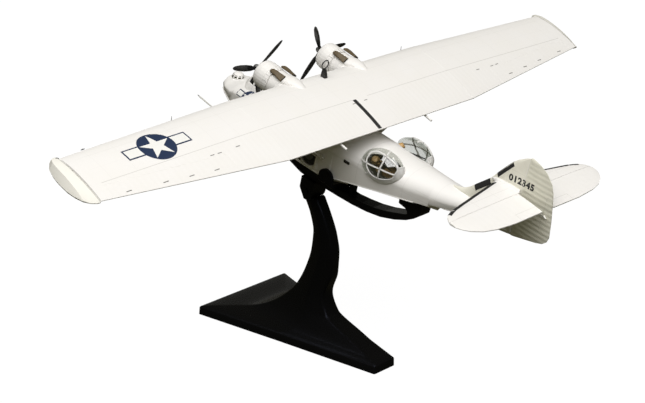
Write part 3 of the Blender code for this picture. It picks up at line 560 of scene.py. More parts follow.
def insignia(name, plane, surface, radius, half_span, bar_low, bar_high, edge, cell):
    """The disc and the bars' navy edge are one shape; the white bars and the star lie on it."""
    foot = bar_low - edge
    head = bar_high + edge
    outline = []
    for first, last, flip in ((-90.0, 90.0, 1), (90.0, 270.0, -1)):
        arc = []
        for k in range(25):
            a = math.radians(first + (last - first) * k / 24)
            arc.append((radius * math.cos(a), radius * math.sin(a)))
        corner = [(flip * math.sqrt(radius ** 2 - foot ** 2), foot), (flip * half_span, foot),
                  (flip * half_span, head), (flip * math.sqrt(radius ** 2 - head ** 2), head)]
        below = [p for p in arc if p[1] <= foot]
        above = [p for p in arc if p[1] >= head]
        outline += below + corner + above if flip == 1 else above + corner[::-1] + below
    transfer(f"{name}_navy", [outline], plane, surface, navy, lift=0.05, cell=cell)
    inner = radius + 0.02
    outer = half_span - edge
    for label, flip in (("left", -1), ("right", 1)):
        bar = [(flip * math.sqrt(inner ** 2 - bar_low ** 2), bar_low), (flip * outer, bar_low),
               (flip * outer, bar_high), (flip * math.sqrt(inner ** 2 - bar_high ** 2), bar_high)]
        for k in range(1, 6):
            y = bar_high + (bar_low - bar_high) * k / 6
            bar.append((flip * math.sqrt(inner ** 2 - y ** 2), y))
        transfer(f"{name}_bar_{label}", [bar], plane, surface, star_white, lift=0.10, cell=cell)
    transfer(f"{name}_star", [star(radius * 0.91)], plane, surface, star_white, lift=0.10, cell=cell)


for side_name, side in SIDES:
    lean = math.radians(20.0)
    out = Vector((side * math.cos(lean), 0.0, math.sin(lean)))
    plane = plane_at(HULL_PLACE, Vector((side * 18.5, -42.6, -34.4)) + out * 40, (0, side, 0),
                     (-side * math.sin(lean), 0, math.cos(lean)))
    insignia(f"bow_insignia_{side_name}", plane, hull_surface, 5.0, 10.6, -1.5, 1.6, 0.6, 1.0)

# Main wheels fold flat against the hull, each in a round well with its leg in a bay behind it. Tyres are
# black rubber paint, hubs dark grey, and the legs are cast metal in the hull's white.
rubber = finish("tyre_rubber", (0.018, 0.018, 0.019), 0.75, grain=1500.0)
# The near-black sheet over each leg bay and round each wheel well is painted shade.
bay_shade = finish("wheel_bay_shadow", (0.020, 0.020, 0.017), 0.8)
wheel_grey = finish("wheel_grey", (0.11, 0.11, 0.10), 0.45, metallic=0.3)
WHEEL_Y = 21.5
WHEEL_Z = -41.6
WHEEL_BAY = ((13.2, -39.0), (14.2, -38.0), (31.4, -38.6), (32.0, -39.6), (31.6, -48.6), (30.2, -50.0),
             (15.0, -50.0), (13.6, -48.8))
HUB_PROFILE = ((1.0, 0.70), (1.3, 0.3), (2.6, 0.12), (3.9, 0.35), (4.3, 0.30), (4.5, 0.0))
HUB_SIDES = 32


def circle(radius, count, centre):
    """A round outline."""
    return [(centre[0] + radius * math.cos(a), centre[1] + radius * math.sin(a)) for a in turns(count)]


def turned_rows(bm, place, profile, sides):
    """The rings of a turned part, one for each radius and height of its profile."""
    return [[bm.verts.new(place @ Vector((r * math.cos(a), r * math.sin(a), h))) for a in turns(sides)]
            for r, h in profile]


for side_name, side in SIDES:
    dress(f"wheel_{side_name}", rubber)
    plane = plane_at(HULL_PLACE, (side * 60, 0, 0), (0, side, 0), (0, 0, 1))
    bay = [(side * y, z) for y, z in WHEEL_BAY]
    well = circle(8.35, 40, (side * WHEEL_Y, WHEEL_Z))
    transfer(f"wheel_bay_{side_name}", [bay, well], plane, hull_surface, bay_shade, lift=0.06, cell=3.0)
    hub_place = (HULL_PLACE @ Matrix.Translation((side * 20.6, WHEEL_Y, WHEEL_Z))
                 @ Matrix.Rotation(side * math.pi / 2, 4, "Y"))
    bm = bmesh.new()
    rows = turned_rows(bm, hub_place, HUB_PROFILE, HUB_SIDES)
    top = bm.verts.new(hub_place @ Vector((0.0, 0.0, 0.75)))
    for k in range(HUB_SIDES):
        bm.faces.new((top, rows[0][k], rows[0][(k + 1) % HUB_SIDES]))
    for row, next_row in zip(rows, rows[1:]):
        for k in range(HUB_SIDES):
            m = (k + 1) % HUB_SIDES
            bm.faces.new((row[k], next_row[k], next_row[m], row[m]))
    new_piece(f"wheel_hub_{side_name}", bm, wheel_grey)
    hull_rod(f"gear_leg_{side_name}", on_side(side, (21.6, 29.6, -39.6), (21.7, 29.8, -43.6), (21.5, 29.9, -48.4)),
             [0.6, 1.0, 1.55], squash=0.45, flat=(1, 0, 0))
    hull_rod(f"gear_strut_{side_name}", on_side(side, (22.0, 22.6, -39.2), (22.1, 29.0, -39.3), (21.9, 35.6, -39.5)),
             0.4)

# The bow turret is a low glazed drum that is moulded in one with its plain domed cap. Its dark panes are
# printed between white frames.
olive_pane = finish("printed_turret_pane", (0.040, 0.044, 0.014), 0.15, coat=0.5, second=(0.012, 0.012, 0.008),
                    grain=350.0)
dress("bow_turret", enamel("turret_enamel", HULL_PLACE, [("z", -37.3, 0.2, 0.4, {})]))
turret_surface = skin_of(nodes["bow_turret"])
for k, step in enumerate(turns(9)):
    angle = math.radians(20) + step
    out = Vector((math.cos(angle), math.sin(angle), 0))
    across = Vector((-math.sin(angle), math.cos(angle), 0))
    plane = plane_at(HULL_PLACE, Vector((0, -71.0, 0)) + out * 30, across, (0, 0, 1))
    pane = [(-1.0, -37.1), (1.0, -37.1), (0.8, -34.6), (-0.8, -34.6)]
    transfer(f"turret_pane_{k}", [pane], plane, turret_surface, olive_pane, cell=0.8)

# The cockpit roof is white with its windows cut through; one dark clear moulding glazes them from inside.
# A thin wiper lies on each windscreen, and the roof hatch and its frame are engraved.
dress("cockpit_roof", enamel("cockpit_roof_enamel", HULL_PLACE, [
    ("y", -45.5, 0.2, 0.5, {}),
    ("y", -40.1, 0.2, 0.5, {}),
    ("|x|", 4.2, 0.2, 0.5, {"y": (-45.5, -36.0)}),
]))


def clear_plastic(name, tint, roughness, clearness, most):
    """Clear moulded plastic: see-through straight on, shinier at a glance, with faint scuffs."""
    mat = bpy.data.materials.new(name)
    mat.use_nodes = True
    tree = mat.node_tree
    tree.nodes.remove(tree.nodes["Principled BSDF"])
    output = tree.nodes["Material Output"]
    through = tree.nodes.new("ShaderNodeBsdfTransparent")
    through.inputs["Color"].default_value = (*tint, 1)
    gloss = tree.nodes.new("ShaderNodeBsdfGlossy")
    coordinates = tree.nodes.new("ShaderNodeTexCoord")
    scuff = tree.nodes.new("ShaderNodeTexNoise")
    scuff.inputs["Scale"].default_value = 400.0
    tree.links.new(coordinates.outputs["Object"], scuff.inputs["Vector"])
    rough = math_node(tree, "ADD", math_node(tree, "MULTIPLY", scuff.outputs["Fac"], 0.03), roughness)
    tree.links.new(rough, gloss.inputs["Roughness"])
    fresnel = tree.nodes.new("ShaderNodeFresnel")
    fresnel.inputs["IOR"].default_value = 1.49
    share = math_node(tree, "MINIMUM", math_node(tree, "ADD", fresnel.outputs[0], 1.0 - clearness), most)
    mix = tree.nodes.new("ShaderNodeMixShader")
    tree.links.new(share, mix.inputs["Fac"])
    tree.links.new(through.outputs[0], mix.inputs[1])
    tree.links.new(gloss.outputs[0], mix.inputs[2])
    tree.links.new(mix.outputs[0], output.inputs["Surface"])
    return mat


dress("cockpit_glass", clear_plastic("cockpit_clear_plastic", (0.16, 0.17, 0.16), 0.04, 0.94, 0.12))
wiper_black = finish("wiper_black", (0.012, 0.012, 0.012), 0.4)
for side_name, side in SIDES:
    rod(f"wiper_{side_name}", on_side(side, (1.0, -56.2, -30.0), (2.6, -55.4, -27.9), (4.6, -54.6, -26.9)),
        0.14, HULL_PLACE, wiper_black, "propeller_black", sides=6)

# The pylon carries the wing. It is a cast fairing in white on the hull's back, with engraved panel joints
# and a small printed window on each side.
dress("wing_pylon", enamel("pylon_enamel", HULL_PLACE, [
    ("y", 14.0, 0.25, 0.5, {}),
    ("y", 40.0, 0.25, 0.5, {}),
    ("z", -9.0, 0.25, 0.5, {"y": (14, 40)}),
]))
pylon_surface = skin_of(nodes["wing_pylon"])
REAR_EDGE_START = 44.0
REAR_EDGE_SHARE = 0.62


def pylon_tail(spot):
    """The casting's rear edge is a little shorter and finer than the block that holds the wing."""
    place = HULL_PLACE.inverted() @ spot
    if place.y > REAR_EDGE_START:
        place.y = REAR_EDGE_START + (place.y - REAR_EDGE_START) * REAR_EDGE_SHARE
    return HULL_PLACE @ place


moulded("wing_pylon", move=pylon_tail)
for side_name, side in SIDES:
    plane = plane_at(HULL_PLACE, (side * 40, 21.0, -13.5), (0, side, 0), (0, 0, 1))
    transfer(f"pylon_window_{side_name}", [rounded(3.6, 2.6, 0.5)], plane, pylon_surface, pane_black)

# Streamlined struts brace the wing to the hull. They are thin white castings, two on each side, each with a
# short cuff at its foot and at its head.
STRUTS = (
    # place along the side, foot y and z, head y and z
    ("front", 9.0, -38.5, 12.0, -4.0),
    ("rear", 33.5, -41.0, 38.0, -6.5),
)
strut_enamel = enamel("strut_enamel", HULL_PLACE)
for side_name, side in SIDES:
    for leg, foot_y, foot_z, head_y, head_z in STRUTS:
        dress(f"wing_strut_{leg}_{side_name}", strut_enamel)
        foot = Vector((side * 17.0, foot_y, foot_z))
        head = Vector((side * 66.0, head_y, head_z))
        for label, start, stop in (("foot", 0.115, 0.165), ("head", 0.915, 0.95)):
            rod(f"strut_cuff_{label}_{leg}_{side_name}", [foot.lerp(head, start), foot.lerp(head, stop)],
                [2.5, 2.25], HULL_PLACE, strut_enamel, "white_paint", squash=0.42, flat=(0, 0, 1), sides=16)

# The wing is a metal casting in three parts: a straight centre and two tapered panels. Skin joints are
# engraved, and behind the rear spar the fabric covering shows its ribs.
KNEE = 83.8
WING_END = 214.6
ROOT_CHORD = 63.0
END_LEAD = 6.6
END_TAPER = 16.0
FULLER_FROM = 130.0
wing_grooves = [
    ("y", 36.0, 0.45, 0.42, {"|x|": (7.0, 206.0)}),
    ("y", 13.0, 0.25, 0.16, {"|x|": (0.0, 206.0)}),
    ("y", 24.5, 0.20, 0.10, {"|x|": (0.0, 206.0)}),
    ("|x|", 14.0, 0.25, 0.14, {"y": (0, 60)}),
    ("|x|", 214.1, 0.60, 0.55, {"y": (8.5, 46.8)}),
]
wing_grooves += [("|x|", x, 0.25, 0.12, {"y": (4, 36)}) for x in (41, 62, 102, 120, 140, 160, 180, 198)]
wing_ribs = ("x", 4.2, 0.16, {"y": (37.0, 63.0), "|x|": (16.0, 208.0)})
wing_enamel = enamel("wing_enamel", WING_PLACE, wing_grooves, ribs=wing_ribs)


def straight_lead(spot):
    """The leading edge runs on up to 1.5 mm fuller towards the tip."""
    place = WING_PLACE.inverted() @ spot
    outwards = min(1.0, max(0.0, (abs(place.x) - FULLER_FROM) / (WING_END - FULLER_FROM)))
    place.y -= 1.5 * outwards * min(1.0, max(0.0, (26.0 - place.y) / 24.0))
    return WING_PLACE @ place


wing_skins = []
for node in ("wing_centre", "wing_panel_port", "wing_panel_starboard", "aileron_port", "aileron_starboard"):
    dress(node, wing_enamel)
    wing_skins.append(moulded(node, move=straight_lead))

# Paint fills the joints between the wing's castings and round the ailerons almost flush. A body that lies a
# little inside the skins stands for it.


def wing_ring(bm, x, sink):
    """The wing's section at one place along the span, sunk a little below its skin."""
    share = max(0.0, abs(x) - KNEE) / (WING_END - KNEE)
    lead = END_LEAD * share
    chord = ROOT_CHORD - END_TAPER * share - lead
    upper = []
    lower = []
    for k in range(10):
        s = (1 + math.cos(math.pi * k / 9)) / 2
        half = 5 * (0.150 - 0.025 * share) * chord * (
            0.2969 * math.sqrt(s) - 0.1260 * s - 0.3516 * s ** 2 + 0.2843 * s ** 3 - 0.1015 * s ** 4)
        half = max(0.02, half + 0.18 * s - sink)
        mean = 4 * 0.022 * chord * s * (1 - s)
        y = lead + chord * s + (0.3 if k == 9 else 0.0) - (0.1 if k == 0 else 0.0)
        upper.append((x, y, mean + half))
        lower.append((x, y, mean - half))
    return [bm.verts.new(WING_PLACE @ Vector(p)) for p in upper[:-1] + [(x, lead + 0.3, 0.0)] + lower[-2::-1]]


for side_name, side in SIDES:
    bm = bmesh.new()
    join_rings(bm, [wing_ring(bm, side * x, 0.05) for x in (81.0, KNEE, 214.3)])
    new_piece(f"wing_joint_paint_{side_name}", bm, wing_enamel)

# Markings on the wing are printed: insignia on top of the port panel and, as is usual, under the starboard
# one, a black walkway stripe across the centre section, and fine grey lines where fittings are.
line_grey = finish("printed_line_grey", (0.20, 0.20, 0.185), 0.5)
walk_black = finish("walkway_black", (0.016, 0.016, 0.017), 0.7, grain=2500.0)
WING_FITTINGS = (
    # x, y, half length
    (109.5, 42.5, 1.6),
    (124.0, 42.8, 1.5),
    (129.5, 42.6, 1.5),
    (134.0, 52.9, 1.9),
    (151.7, 51.1, 1.9),
    (169.5, 49.3, 1.9),
    (194.5, 47.0, 1.9),
)


def dash(x, y, half_length, half_width):
    """The outline of a straight printed line."""
    return [(x - half_length, y - half_width), (x + half_length, y - half_width),
            (x + half_length, y + half_width), (x - half_length, y + half_width)]


wing_surface = skin_of(*wing_skins)
for label, side in (("upper", 1), ("lower", -1)):
    plane = plane_at(WING_PLACE, (side * 156.0, 23.0, side * 60), (-1, 0, 0), (0, -side, 0))
    insignia(f"wing_insignia_{label}", plane, wing_surface, 12.1, 23.4, -3.5, 3.5, 1.0, 1.3)
plane = plane_at(WING_PLACE, (0, 0, 60), (1, 0, 0), (0, 1, 0))
transfer("walkway_stripe", [dash(5.0, 49.3, 1.5, 13.1)], plane, wing_surface, walk_black, cell=1.5)
for k, (x, y) in enumerate(((7.6, 39.2), (-2.9, 39.0))):
    transfer(f"lift_eye_{k}", [dash(x, y, 1.4, 0.25)], plane, wing_surface, line_grey, cell=1.5)
for side_name, side in SIDES:
    for k, (x, y, half_length) in enumerate(WING_FITTINGS):
        transfer(f"wing_fitting_{side_name}_{k}", [dash(side * x, y, half_length, 0.28)], plane, wing_surface,
                 line_grey, cell=1.5)

# Stub aerials of bare wire stand on the wing's leading edge, and the enamelled pitot boom sticks out of the
# port panel with a bare metal tip. A dark vent and lamp sit near the port tip.
metal_grey = finish("bare_metal", (0.34, 0.34, 0.35), 0.35, metallic=0.8)
for label, x, lead in (("port", 128.0, 2.2), ("starboard", -76.0, 0.0)):
    rod(f"stub_aerial_{label}", [(x, lead + 1.0, 0.8), (x, lead + 0.7, 2.4), (x, lead + 0.3, 4.2)],
        [0.30, 0.22, 0.14], WING_PLACE, metal_grey, "engine_grey", sides=8)
lamp_black = finish("lamp_black", (0.012, 0.012, 0.012), 0.35)
rod("lead_vent_port", [(193.8, 4.6, 0.9), (195.2, 4.7, 1.1), (196.6, 4.7, 0.9)], [0.2, 0.34, 0.2],
    WING_PLACE, lamp_black, "propeller_black", sides=10)
rod("tip_lamp_port", [(213.4, 6.4, 0.9), (214.6, 6.2, 1.1), (216.2, 6.3, 1.0)], [0.5, 0.8, 0.45],
    WING_PLACE, lamp_black, "propeller_black", sides=12)
dress("pitot_boom", finish("pitot_enamel", (0.70, 0.69, 0.65), 0.4))
rod("pitot_tip", [(93.0, -11.9, 0.0), (93.0, -13.4, 0.0)], [0.34, 0.22], WING_PLACE, metal_grey, "engine_grey",
    sides=10)

# The tip floats are folded up and form the ends of the wing. Each is a small boat on its side: a flat deck in
# line with the wing, a crease, a steep flank and a rounded bottom. A toned seam runs between float and wing,
# and the folded struts lie in shallow slots under the panel.
float_enamel = enamel("float_enamel", WING_PLACE, [("|x|", 214.9, 0.50, 0.5, {})], colour=(0.83, 0.82, 0.77))
FLOAT_CREASE = math.radians(17.0)
FLOAT_STATIONS = (
    # y, top, crease x and z, edge x and z, bottom
    (3.9, 0.4, 215.6, 0.3, 215.9, -0.6, -1.2),
    (4.9, 1.3, 217.4, 0.9, 218.3, -1.9, -4.0),
    (8.5, 2.4, 219.2, 1.4, 220.8, -3.0, -6.2),
    (13.0, 2.85, 219.8, 1.5, 221.9, -3.6, -7.2),
    (18.0, 3.0, 220.1, 1.4, 222.5, -3.9, -7.6),
    (23.0, 2.9, 220.2, 1.1, 222.8, -3.9, -7.6),
    (28.0, 2.7, 220.4, 0.5, 222.9, -3.9, -7.4),
    (34.0, 2.2, 220.5, -0.6, 222.3, -3.5, -6.7),
    (40.0, 1.6, 220.5, -2.1, 221.0, -2.8, -5.2),
    (44.0, 1.0, 218.5, -1.8, 218.8, -2.2, -3.4),
    (46.4, 0.6, 216.4, -1.0, 216.6, -1.3, -2.0),
    (47.5, 0.3, 215.2, -0.3, 215.3, -0.5, -0.8),
)
plane = plane_at(WING_PLACE, (0, 0, -60), (-1, 0, 0), (0, 1, 0))
for side_name, side in SIDES:
    dress(f"tip_float_{side_name}", float_enamel)
    bm = bmesh.new()
    rows = []
    for y, top, crease_x, crease_z, edge_x, edge_z, bottom in FLOAT_STATIONS:
        wide = edge_x - WING_END
        deep = edge_z - bottom
        section = [(WING_END, top), ((WING_END + crease_x) / 2, (top + crease_z) / 2 + (top - bottom) * 0.03),
                   (crease_x, crease_z), ((crease_x + edge_x) / 2 + 0.12, (crease_z + edge_z) / 2), (edge_x, edge_z),
                   (WING_END + wide * 0.86, bottom + deep * 0.52), (WING_END + wide * 0.55, bottom + deep * 0.16),
                   (WING_END, bottom)]
        rows.append([bm.verts.new(WING_PLACE @ Vector((side * x, y, z))) for x, z in section])
    join_rings(bm, rows)
    tip = new_piece(f"tip_float_{side_name}_moulding", bm, float_enamel)
    tip.data.set_sharp_from_angle(angle=FLOAT_CREASE)
    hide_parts(f"tip_float_{side_name}")
    for label, y in (("front", 16.5), ("rear", 30.0)):
        slot_line = [(-side * 172.0, y - 1.9), (-side * 213.8, y - 1.5), (-side * 213.8, y + 1.5),
                     (-side * 172.0, y + 1.9)]
        if side < 0:
            slot_line = list(reversed(slot_line))
        inner = [(-side * 173.0, y - 1.5), (-side * 213.3, y - 1.1), (-side * 213.3, y + 1.1),
                 (-side * 173.0, y + 1.5)]
        transfer(f"float_slot_{label}_{side_name}", [slot_line, inner], plane, wing_surface, line_grey, cell=3.0)

# Each engine sits in a cast white cowl and nacelle. The thrust line points a little up, and the parts are
# drawn about it: cooling flap lines at the cowl's back edge, an oil cooler's slot and scoop below, and a
# fairing on the wing behind the nacelle.
HUB = (28.4, -27.8, -2.4)
THRUST = Matrix.Rotation(math.pi / 2 - math.radians(4.0), 4, "X")
thrust_places = {side_name: HULL_PLACE @ Matrix.Translation(on_side(side, HUB)[0]) @ THRUST
                 for side_name, side in SIDES}
# Black sheets that close openings are painted shade for the dark inside of each hole.
opening_shade = finish("opening_painted_shade", (0.006, 0.006, 0.006), 0.8)
for side_name, side in SIDES:
    thrust_place = thrust_places[side_name]
    # along the thrust line the frame's own Z points forwards, so places behind the propeller are negative
    cowl_enamel = enamel(f"cowl_enamel_{side_name}", thrust_place, [
        ("z", -13.6, 0.30, 0.40, {}),
        ("z", -8.0, 0.22, 0.15, {}),
        ("x", 0.0, 0.22, 0.15, {"y": (0, 20), "z": (-13.5, -5)}),
    ])
    nacelle_enamel = enamel(f"nacelle_enamel_{side_name}", thrust_place, [
        ("z", -23.5, 0.30, 0.18, {}),
        ("z", -31.0, 0.25, 0.12, {}),
        ("x", 5.4, 0.22, 0.10, {"z": (-46, -23.5)}),
        ("x", -5.4, 0.22, 0.10, {"z": (-46, -23.5)}),
    ])
    dress(f"cowl_{side_name}", cowl_enamel)
    dress(f"nacelle_{side_name}", nacelle_enamel)
    cowl_surface = skin_of(nodes[f"cowl_{side_name}"])
    moulded(f"nacelle_{side_name}")
    spine = on_side(side, (HUB[0], -4.0, 1.2), (HUB[0], 2.0, 3.2), (HUB[0], 7.0, 4.2), (HUB[0], 12.0, 4.4),
                    (HUB[0], 17.5, 4.3))
    rod(f"nacelle_fairing_{side_name}", spine, [6.2, 5.6, 4.4, 2.9, 0.9], WING_PLACE, wing_enamel, "white_paint",
        squash=0.55, sides=28)
    for k in range(14):
        angle = math.radians(13 + 360 / 14 * k)
        out = Vector((math.cos(angle), math.sin(angle), 0))
        plane = plane_at(thrust_place, out * 30, (0, 0, -1), out.cross(Vector((0, 0, -1))))
        transfer(f"cowl_flap_line_{side_name}_{k}", [dash(15.3, 0.0, 1.5, 0.09)], plane, cowl_surface, line_grey,
                 cell=2.0)
    # oil cooler slot under the cowl, a black sheet of painted shade
    plane = plane_at(thrust_place, (0, -30, 0), (1, 0, 0), (0, 0, 1))
    transfer(f"oil_cooler_slot_{side_name}", [rounded(4.6, 2.0, 0.8, centre=(0.0, -15.4))], plane, cowl_surface,
             opening_shade, cell=1.0)
    rod(f"oil_cooler_scoop_{side_name}", [(0.0, -8.6, -16.0), (0.0, -9.2, -19.0), (0.0, -8.6, -24.0),
                                          (0.0, -7.2, -29.0)], [1.6, 2.0, 1.8, 0.8], thrust_place, nacelle_enamel,
        "white_paint", squash=0.6, flat=(0, 1, 0), sides=16)

# The engines show inside the cowls: two rows of finned cylinders round a grey crankcase, with push rods and
# an ignition ring. They are one grey moulding in the model.
CYLINDERS = 7
# depth behind the propeller and shift round the crankcase, row by row
CYLINDER_ROWS = ((-6.1, 0.0), (-9.4, 180 / CYLINDERS))
engine_metal = finish("engine_metal", (0.16, 0.16, 0.17), 0.38, metallic=0.7, second=(0.05, 0.05, 0.055))
for side_name, thrust_place in thrust_places.items():
    dress(f"engine_{side_name}", engine_metal)
    bm = bmesh.new()
    for row, (depth, shift) in enumerate(CYLINDER_ROWS):
        middle = Vector((0, 0, depth))
        for k in range(CYLINDERS):
            angle = math.radians(shift + 360 / CYLINDERS * k)
            out = Vector((math.cos(angle), math.sin(angle), 0))
            aside = Vector((-out.y, out.x, 0))
            for fin in range(7):
                centre = out * (3.9 + 0.52 * fin) + middle
                radius = 1.25 if fin < 6 else 0.9
                rod_mesh(bm, [centre - out * 0.11, centre + out * 0.11], radius, thrust_place, sides=12)
            rod_mesh(bm, [out * 3.4 + middle, out * 7.3 + middle], 0.85, thrust_place, sides=10)
            if row == 0:
                for lean in (-0.5, 0.5):
                    start = out * 2.6 + aside * lean + Vector((0, 0, -4.4))
                    stop = out * 6.9 + aside * lean + Vector((0, 0, -5.0))
                    rod_mesh(bm, [start, stop], 0.13, thrust_place, sides=6)
    new_piece(f"engine_cylinders_{side_name}", bm, engine_metal)
    bm = bmesh.new()
    ring = [Vector((3.0 * math.cos(a), 3.0 * math.sin(a), -4.1)) for a in turns(24)]
    for first, second in zip(ring, ring[1:] + ring[:1]):
        rod_mesh(bm, [first, second], 0.16, thrust_place, sides=6)
    new_piece(f"ignition_ring_{side_name}", bm, metal_grey)

# Three-bladed propellers in satin black, a little scuffed, with a bright dome on each hub and a clamp ring
# round each blade's root. They turn.
DOME_PROFILE = ((2.15, 0.2), (2.2, 1.2), (1.9, 2.4), (1.3, 3.2), (0.6, 3.6))
BLADE_ANGLES = {"port": 14.0, "starboard": 60.9}
blade_black = finish("propeller_satin_black", (0.014, 0.014, 0.015), 0.38, spread=0.5, grain=500.0, coat=0.2)
for side_name, thrust_place in thrust_places.items():
    dress(f"propeller_{side_name}", blade_black)
    bm = bmesh.new()
    join_rings(bm, turned_rows(bm, thrust_place, DOME_PROFILE, 24))
    new_piece(f"propeller_dome_{side_name}", bm, metal_grey, f"propeller_{side_name}")
    bm = bmesh.new()
    for k in range(3):
        angle = math.radians(BLADE_ANGLES[side_name] + 120 * k)
        out = Vector((math.cos(angle), math.sin(angle), 0))
        for reach in (2.4, 3.3):
            rod_mesh(bm, [out * reach, out * (reach + 0.45)], 1.15, thrust_place, sides=16)
    new_piece(f"blade_clamps_{side_name}", bm, blade_black, f"propeller_{side_name}")

# Two flattened exhaust pipes lie on top of each nacelle. They are cast metal, painted a burnt brown, and a black
# sheet at each back end is painted shade for the open mouth.
MOUTH_HEIGHT = 10.40
MOUTH_DEPTH = -26.83
burnt = finish("exhaust_burnt_brown", (0.145, 0.105, 0.050), 0.55, spread=0.45, grain=420.0,
               second=(0.060, 0.042, 0.022))


def flattened(radius, share):
    """A rounder or flatter oval's reach for a cosine or a sine."""
    return radius * math.copysign(abs(share) ** 0.6, share)


for side_name, thrust_place in thrust_places.items():
    for place, tilt in (("port_pipe", math.radians(29.0)), ("starboard_pipe", math.radians(-29.0))):
        dress(f"exhaust_{place}_{side_name}", burnt)
        out = Vector((math.sin(tilt), math.cos(tilt), 0.0))
        across = Vector((math.cos(tilt), -math.sin(tilt), 0.0))
        middle = out * MOUTH_HEIGHT + Vector((0, 0, MOUTH_DEPTH))
        bm = bmesh.new()
        bm.faces.new([bm.verts.new(thrust_place @ (middle + across * flattened(2.2, math.cos(a))
                                                   + out * flattened(0.42, math.sin(a)))) for a in turns(20)])
        new_piece(f"exhaust_mouth_{place}_{side_name}", bm, opening_shade)

# Clear blisters bulge from the waist, each in a white frame. Inside are a room in painted shade, a tan bench, and a
# gun on a tan mount at each opening.
RAIL = ((0, 44), (26, 54), (54, 49), (82, 51), (98, 56), (114, 62), (134, 60), (150, 50), (182, 41), (216, 39),
        (244, 41), (270, 40), (298, 39), (334, 44), (360, 44))
# angle round the blister, and how far from the crown the rib starts and ends, in degrees; None is the rail
RIBS = ((354, 0.0, 43.0), (82, 0.0, 86.0), (182, 0.0, 86.0), (270, 0.0, 39.0), (26, None, 88.0), (228, None, 88.0))
SHEET_STEPS = 10
BLISTER_RADII = (8.4, 15.6, 10.6)
CROWN_TURN = Matrix.Rotation(math.radians(11.0), 3, "Z")
dress("waist_bench", finish("bench_tan", (0.33, 0.20, 0.085), 0.6, second=(0.20, 0.115, 0.045), grain=260.0))
# The mounts are tan, and their tan is raised well above the bench's as painted light for the light they catch.
tan = finish("mount_tan_painted_light", (0.72, 0.46, 0.19), 0.5, second=(0.48, 0.28, 0.10), grain=420.0)
gun_black = finish("gun_black", (0.015, 0.015, 0.016), 0.4, metallic=0.4)
dress("blister_glass_port", clear_plastic("blister_clear_plastic", (0.88, 0.89, 0.87), 0.015, 0.91, 0.20))
dress("blister_glass_starboard", nodes["blister_glass_port"].data.materials[0])
blister_enamel = enamel("blister_frame_enamel", HULL_PLACE)
blister_shader = blister_enamel.node_tree.nodes["Principled BSDF"]
blister_shader.inputs["Subsurface Weight"].default_value = 0.7
blister_shader.inputs["Subsurface Radius"].default_value = (1.0, 1.0, 1.0)
blister_shader.inputs["Subsurface Scale"].default_value = 0.002


def rail_down(angle):
    """How far from the crown, in degrees, the frame's rail runs at each angle round it."""
    angle %= 360.0
    for (a1, d1), (a2, d2) in zip(RAIL, RAIL[1:]):
        if a1 <= angle <= a2:
            t = (angle - a1) / (a2 - a1)
            t = t * t * (3 - 2 * t) * 0.4 + t * 0.6
            return d1 + (d2 - d1) * t


def bubble_spot(side, down, angle, lift):
    """A place on the blister and the direction that points out there, in world millimetres."""
    down, angle = math.radians(down), math.radians(angle)
    unit = CROWN_TURN @ Vector((math.cos(down), math.sin(down) * math.cos(angle), math.sin(down) * math.sin(angle)))
    radii = [radius + lift for radius in BLISTER_RADII]
    spot = BLISTER_TURN @ Vector([u * r for u, r in zip(unit, radii)]) + Vector(BLISTER_MIDDLE)
    out = BLISTER_TURN @ Vector([u / r for u, r in zip(unit, radii)])
    spot.x *= side
    out.x *= side
    return HULL_PLACE @ spot, (HULL_PLACE.to_3x3() @ out).normalized()


def ribbon(bm, stations, half, rise, closed=False):
    """A flat strip with soft edges that follows the blister through the stations."""
    count = len(stations)
    rows = []
    for k, (spot, out) in enumerate(stations):
        before = stations[k - 1 if closed or k > 0 else 0][0]
        after = stations[(k + 1) % count if closed or k < count - 1 else k][0]
        wide = (after - before).cross(out).normalized() * half
        rows.append([bm.verts.new(spot + wide * w + out * h) for w, h in (
            (1.0, -0.2), (1.0, rise * 0.6), (0.6, rise), (-0.6, rise), (-1.0, rise * 0.6), (-1.0, -0.2))])
    for k in range(count if closed else count - 1):
        row, next_row = rows[k], rows[(k + 1) % count]
        for n in range(6):
            bm.faces.new((row[n], row[(n + 1) % 6], next_row[(n + 1) % 6], next_row[n]))
    if not closed:
        bm.faces.new(rows[0])
        bm.faces.new(list(reversed(rows[-1])))


def frame_sheet(bm, side, lift):
    """Rows of places from the rail down to the hull, where the frame is a solid sheet."""
    sheet = []
    for angle in range(228, 387, 6):
        rail = rail_down(angle)
        downs = [rail + (91.0 - rail) * k / SHEET_STEPS for k in range(SHEET_STEPS + 1)]
        sheet.append([bm.verts.new(bubble_spot(side, down, angle, lift)[0]) for down in downs])
    return sheet


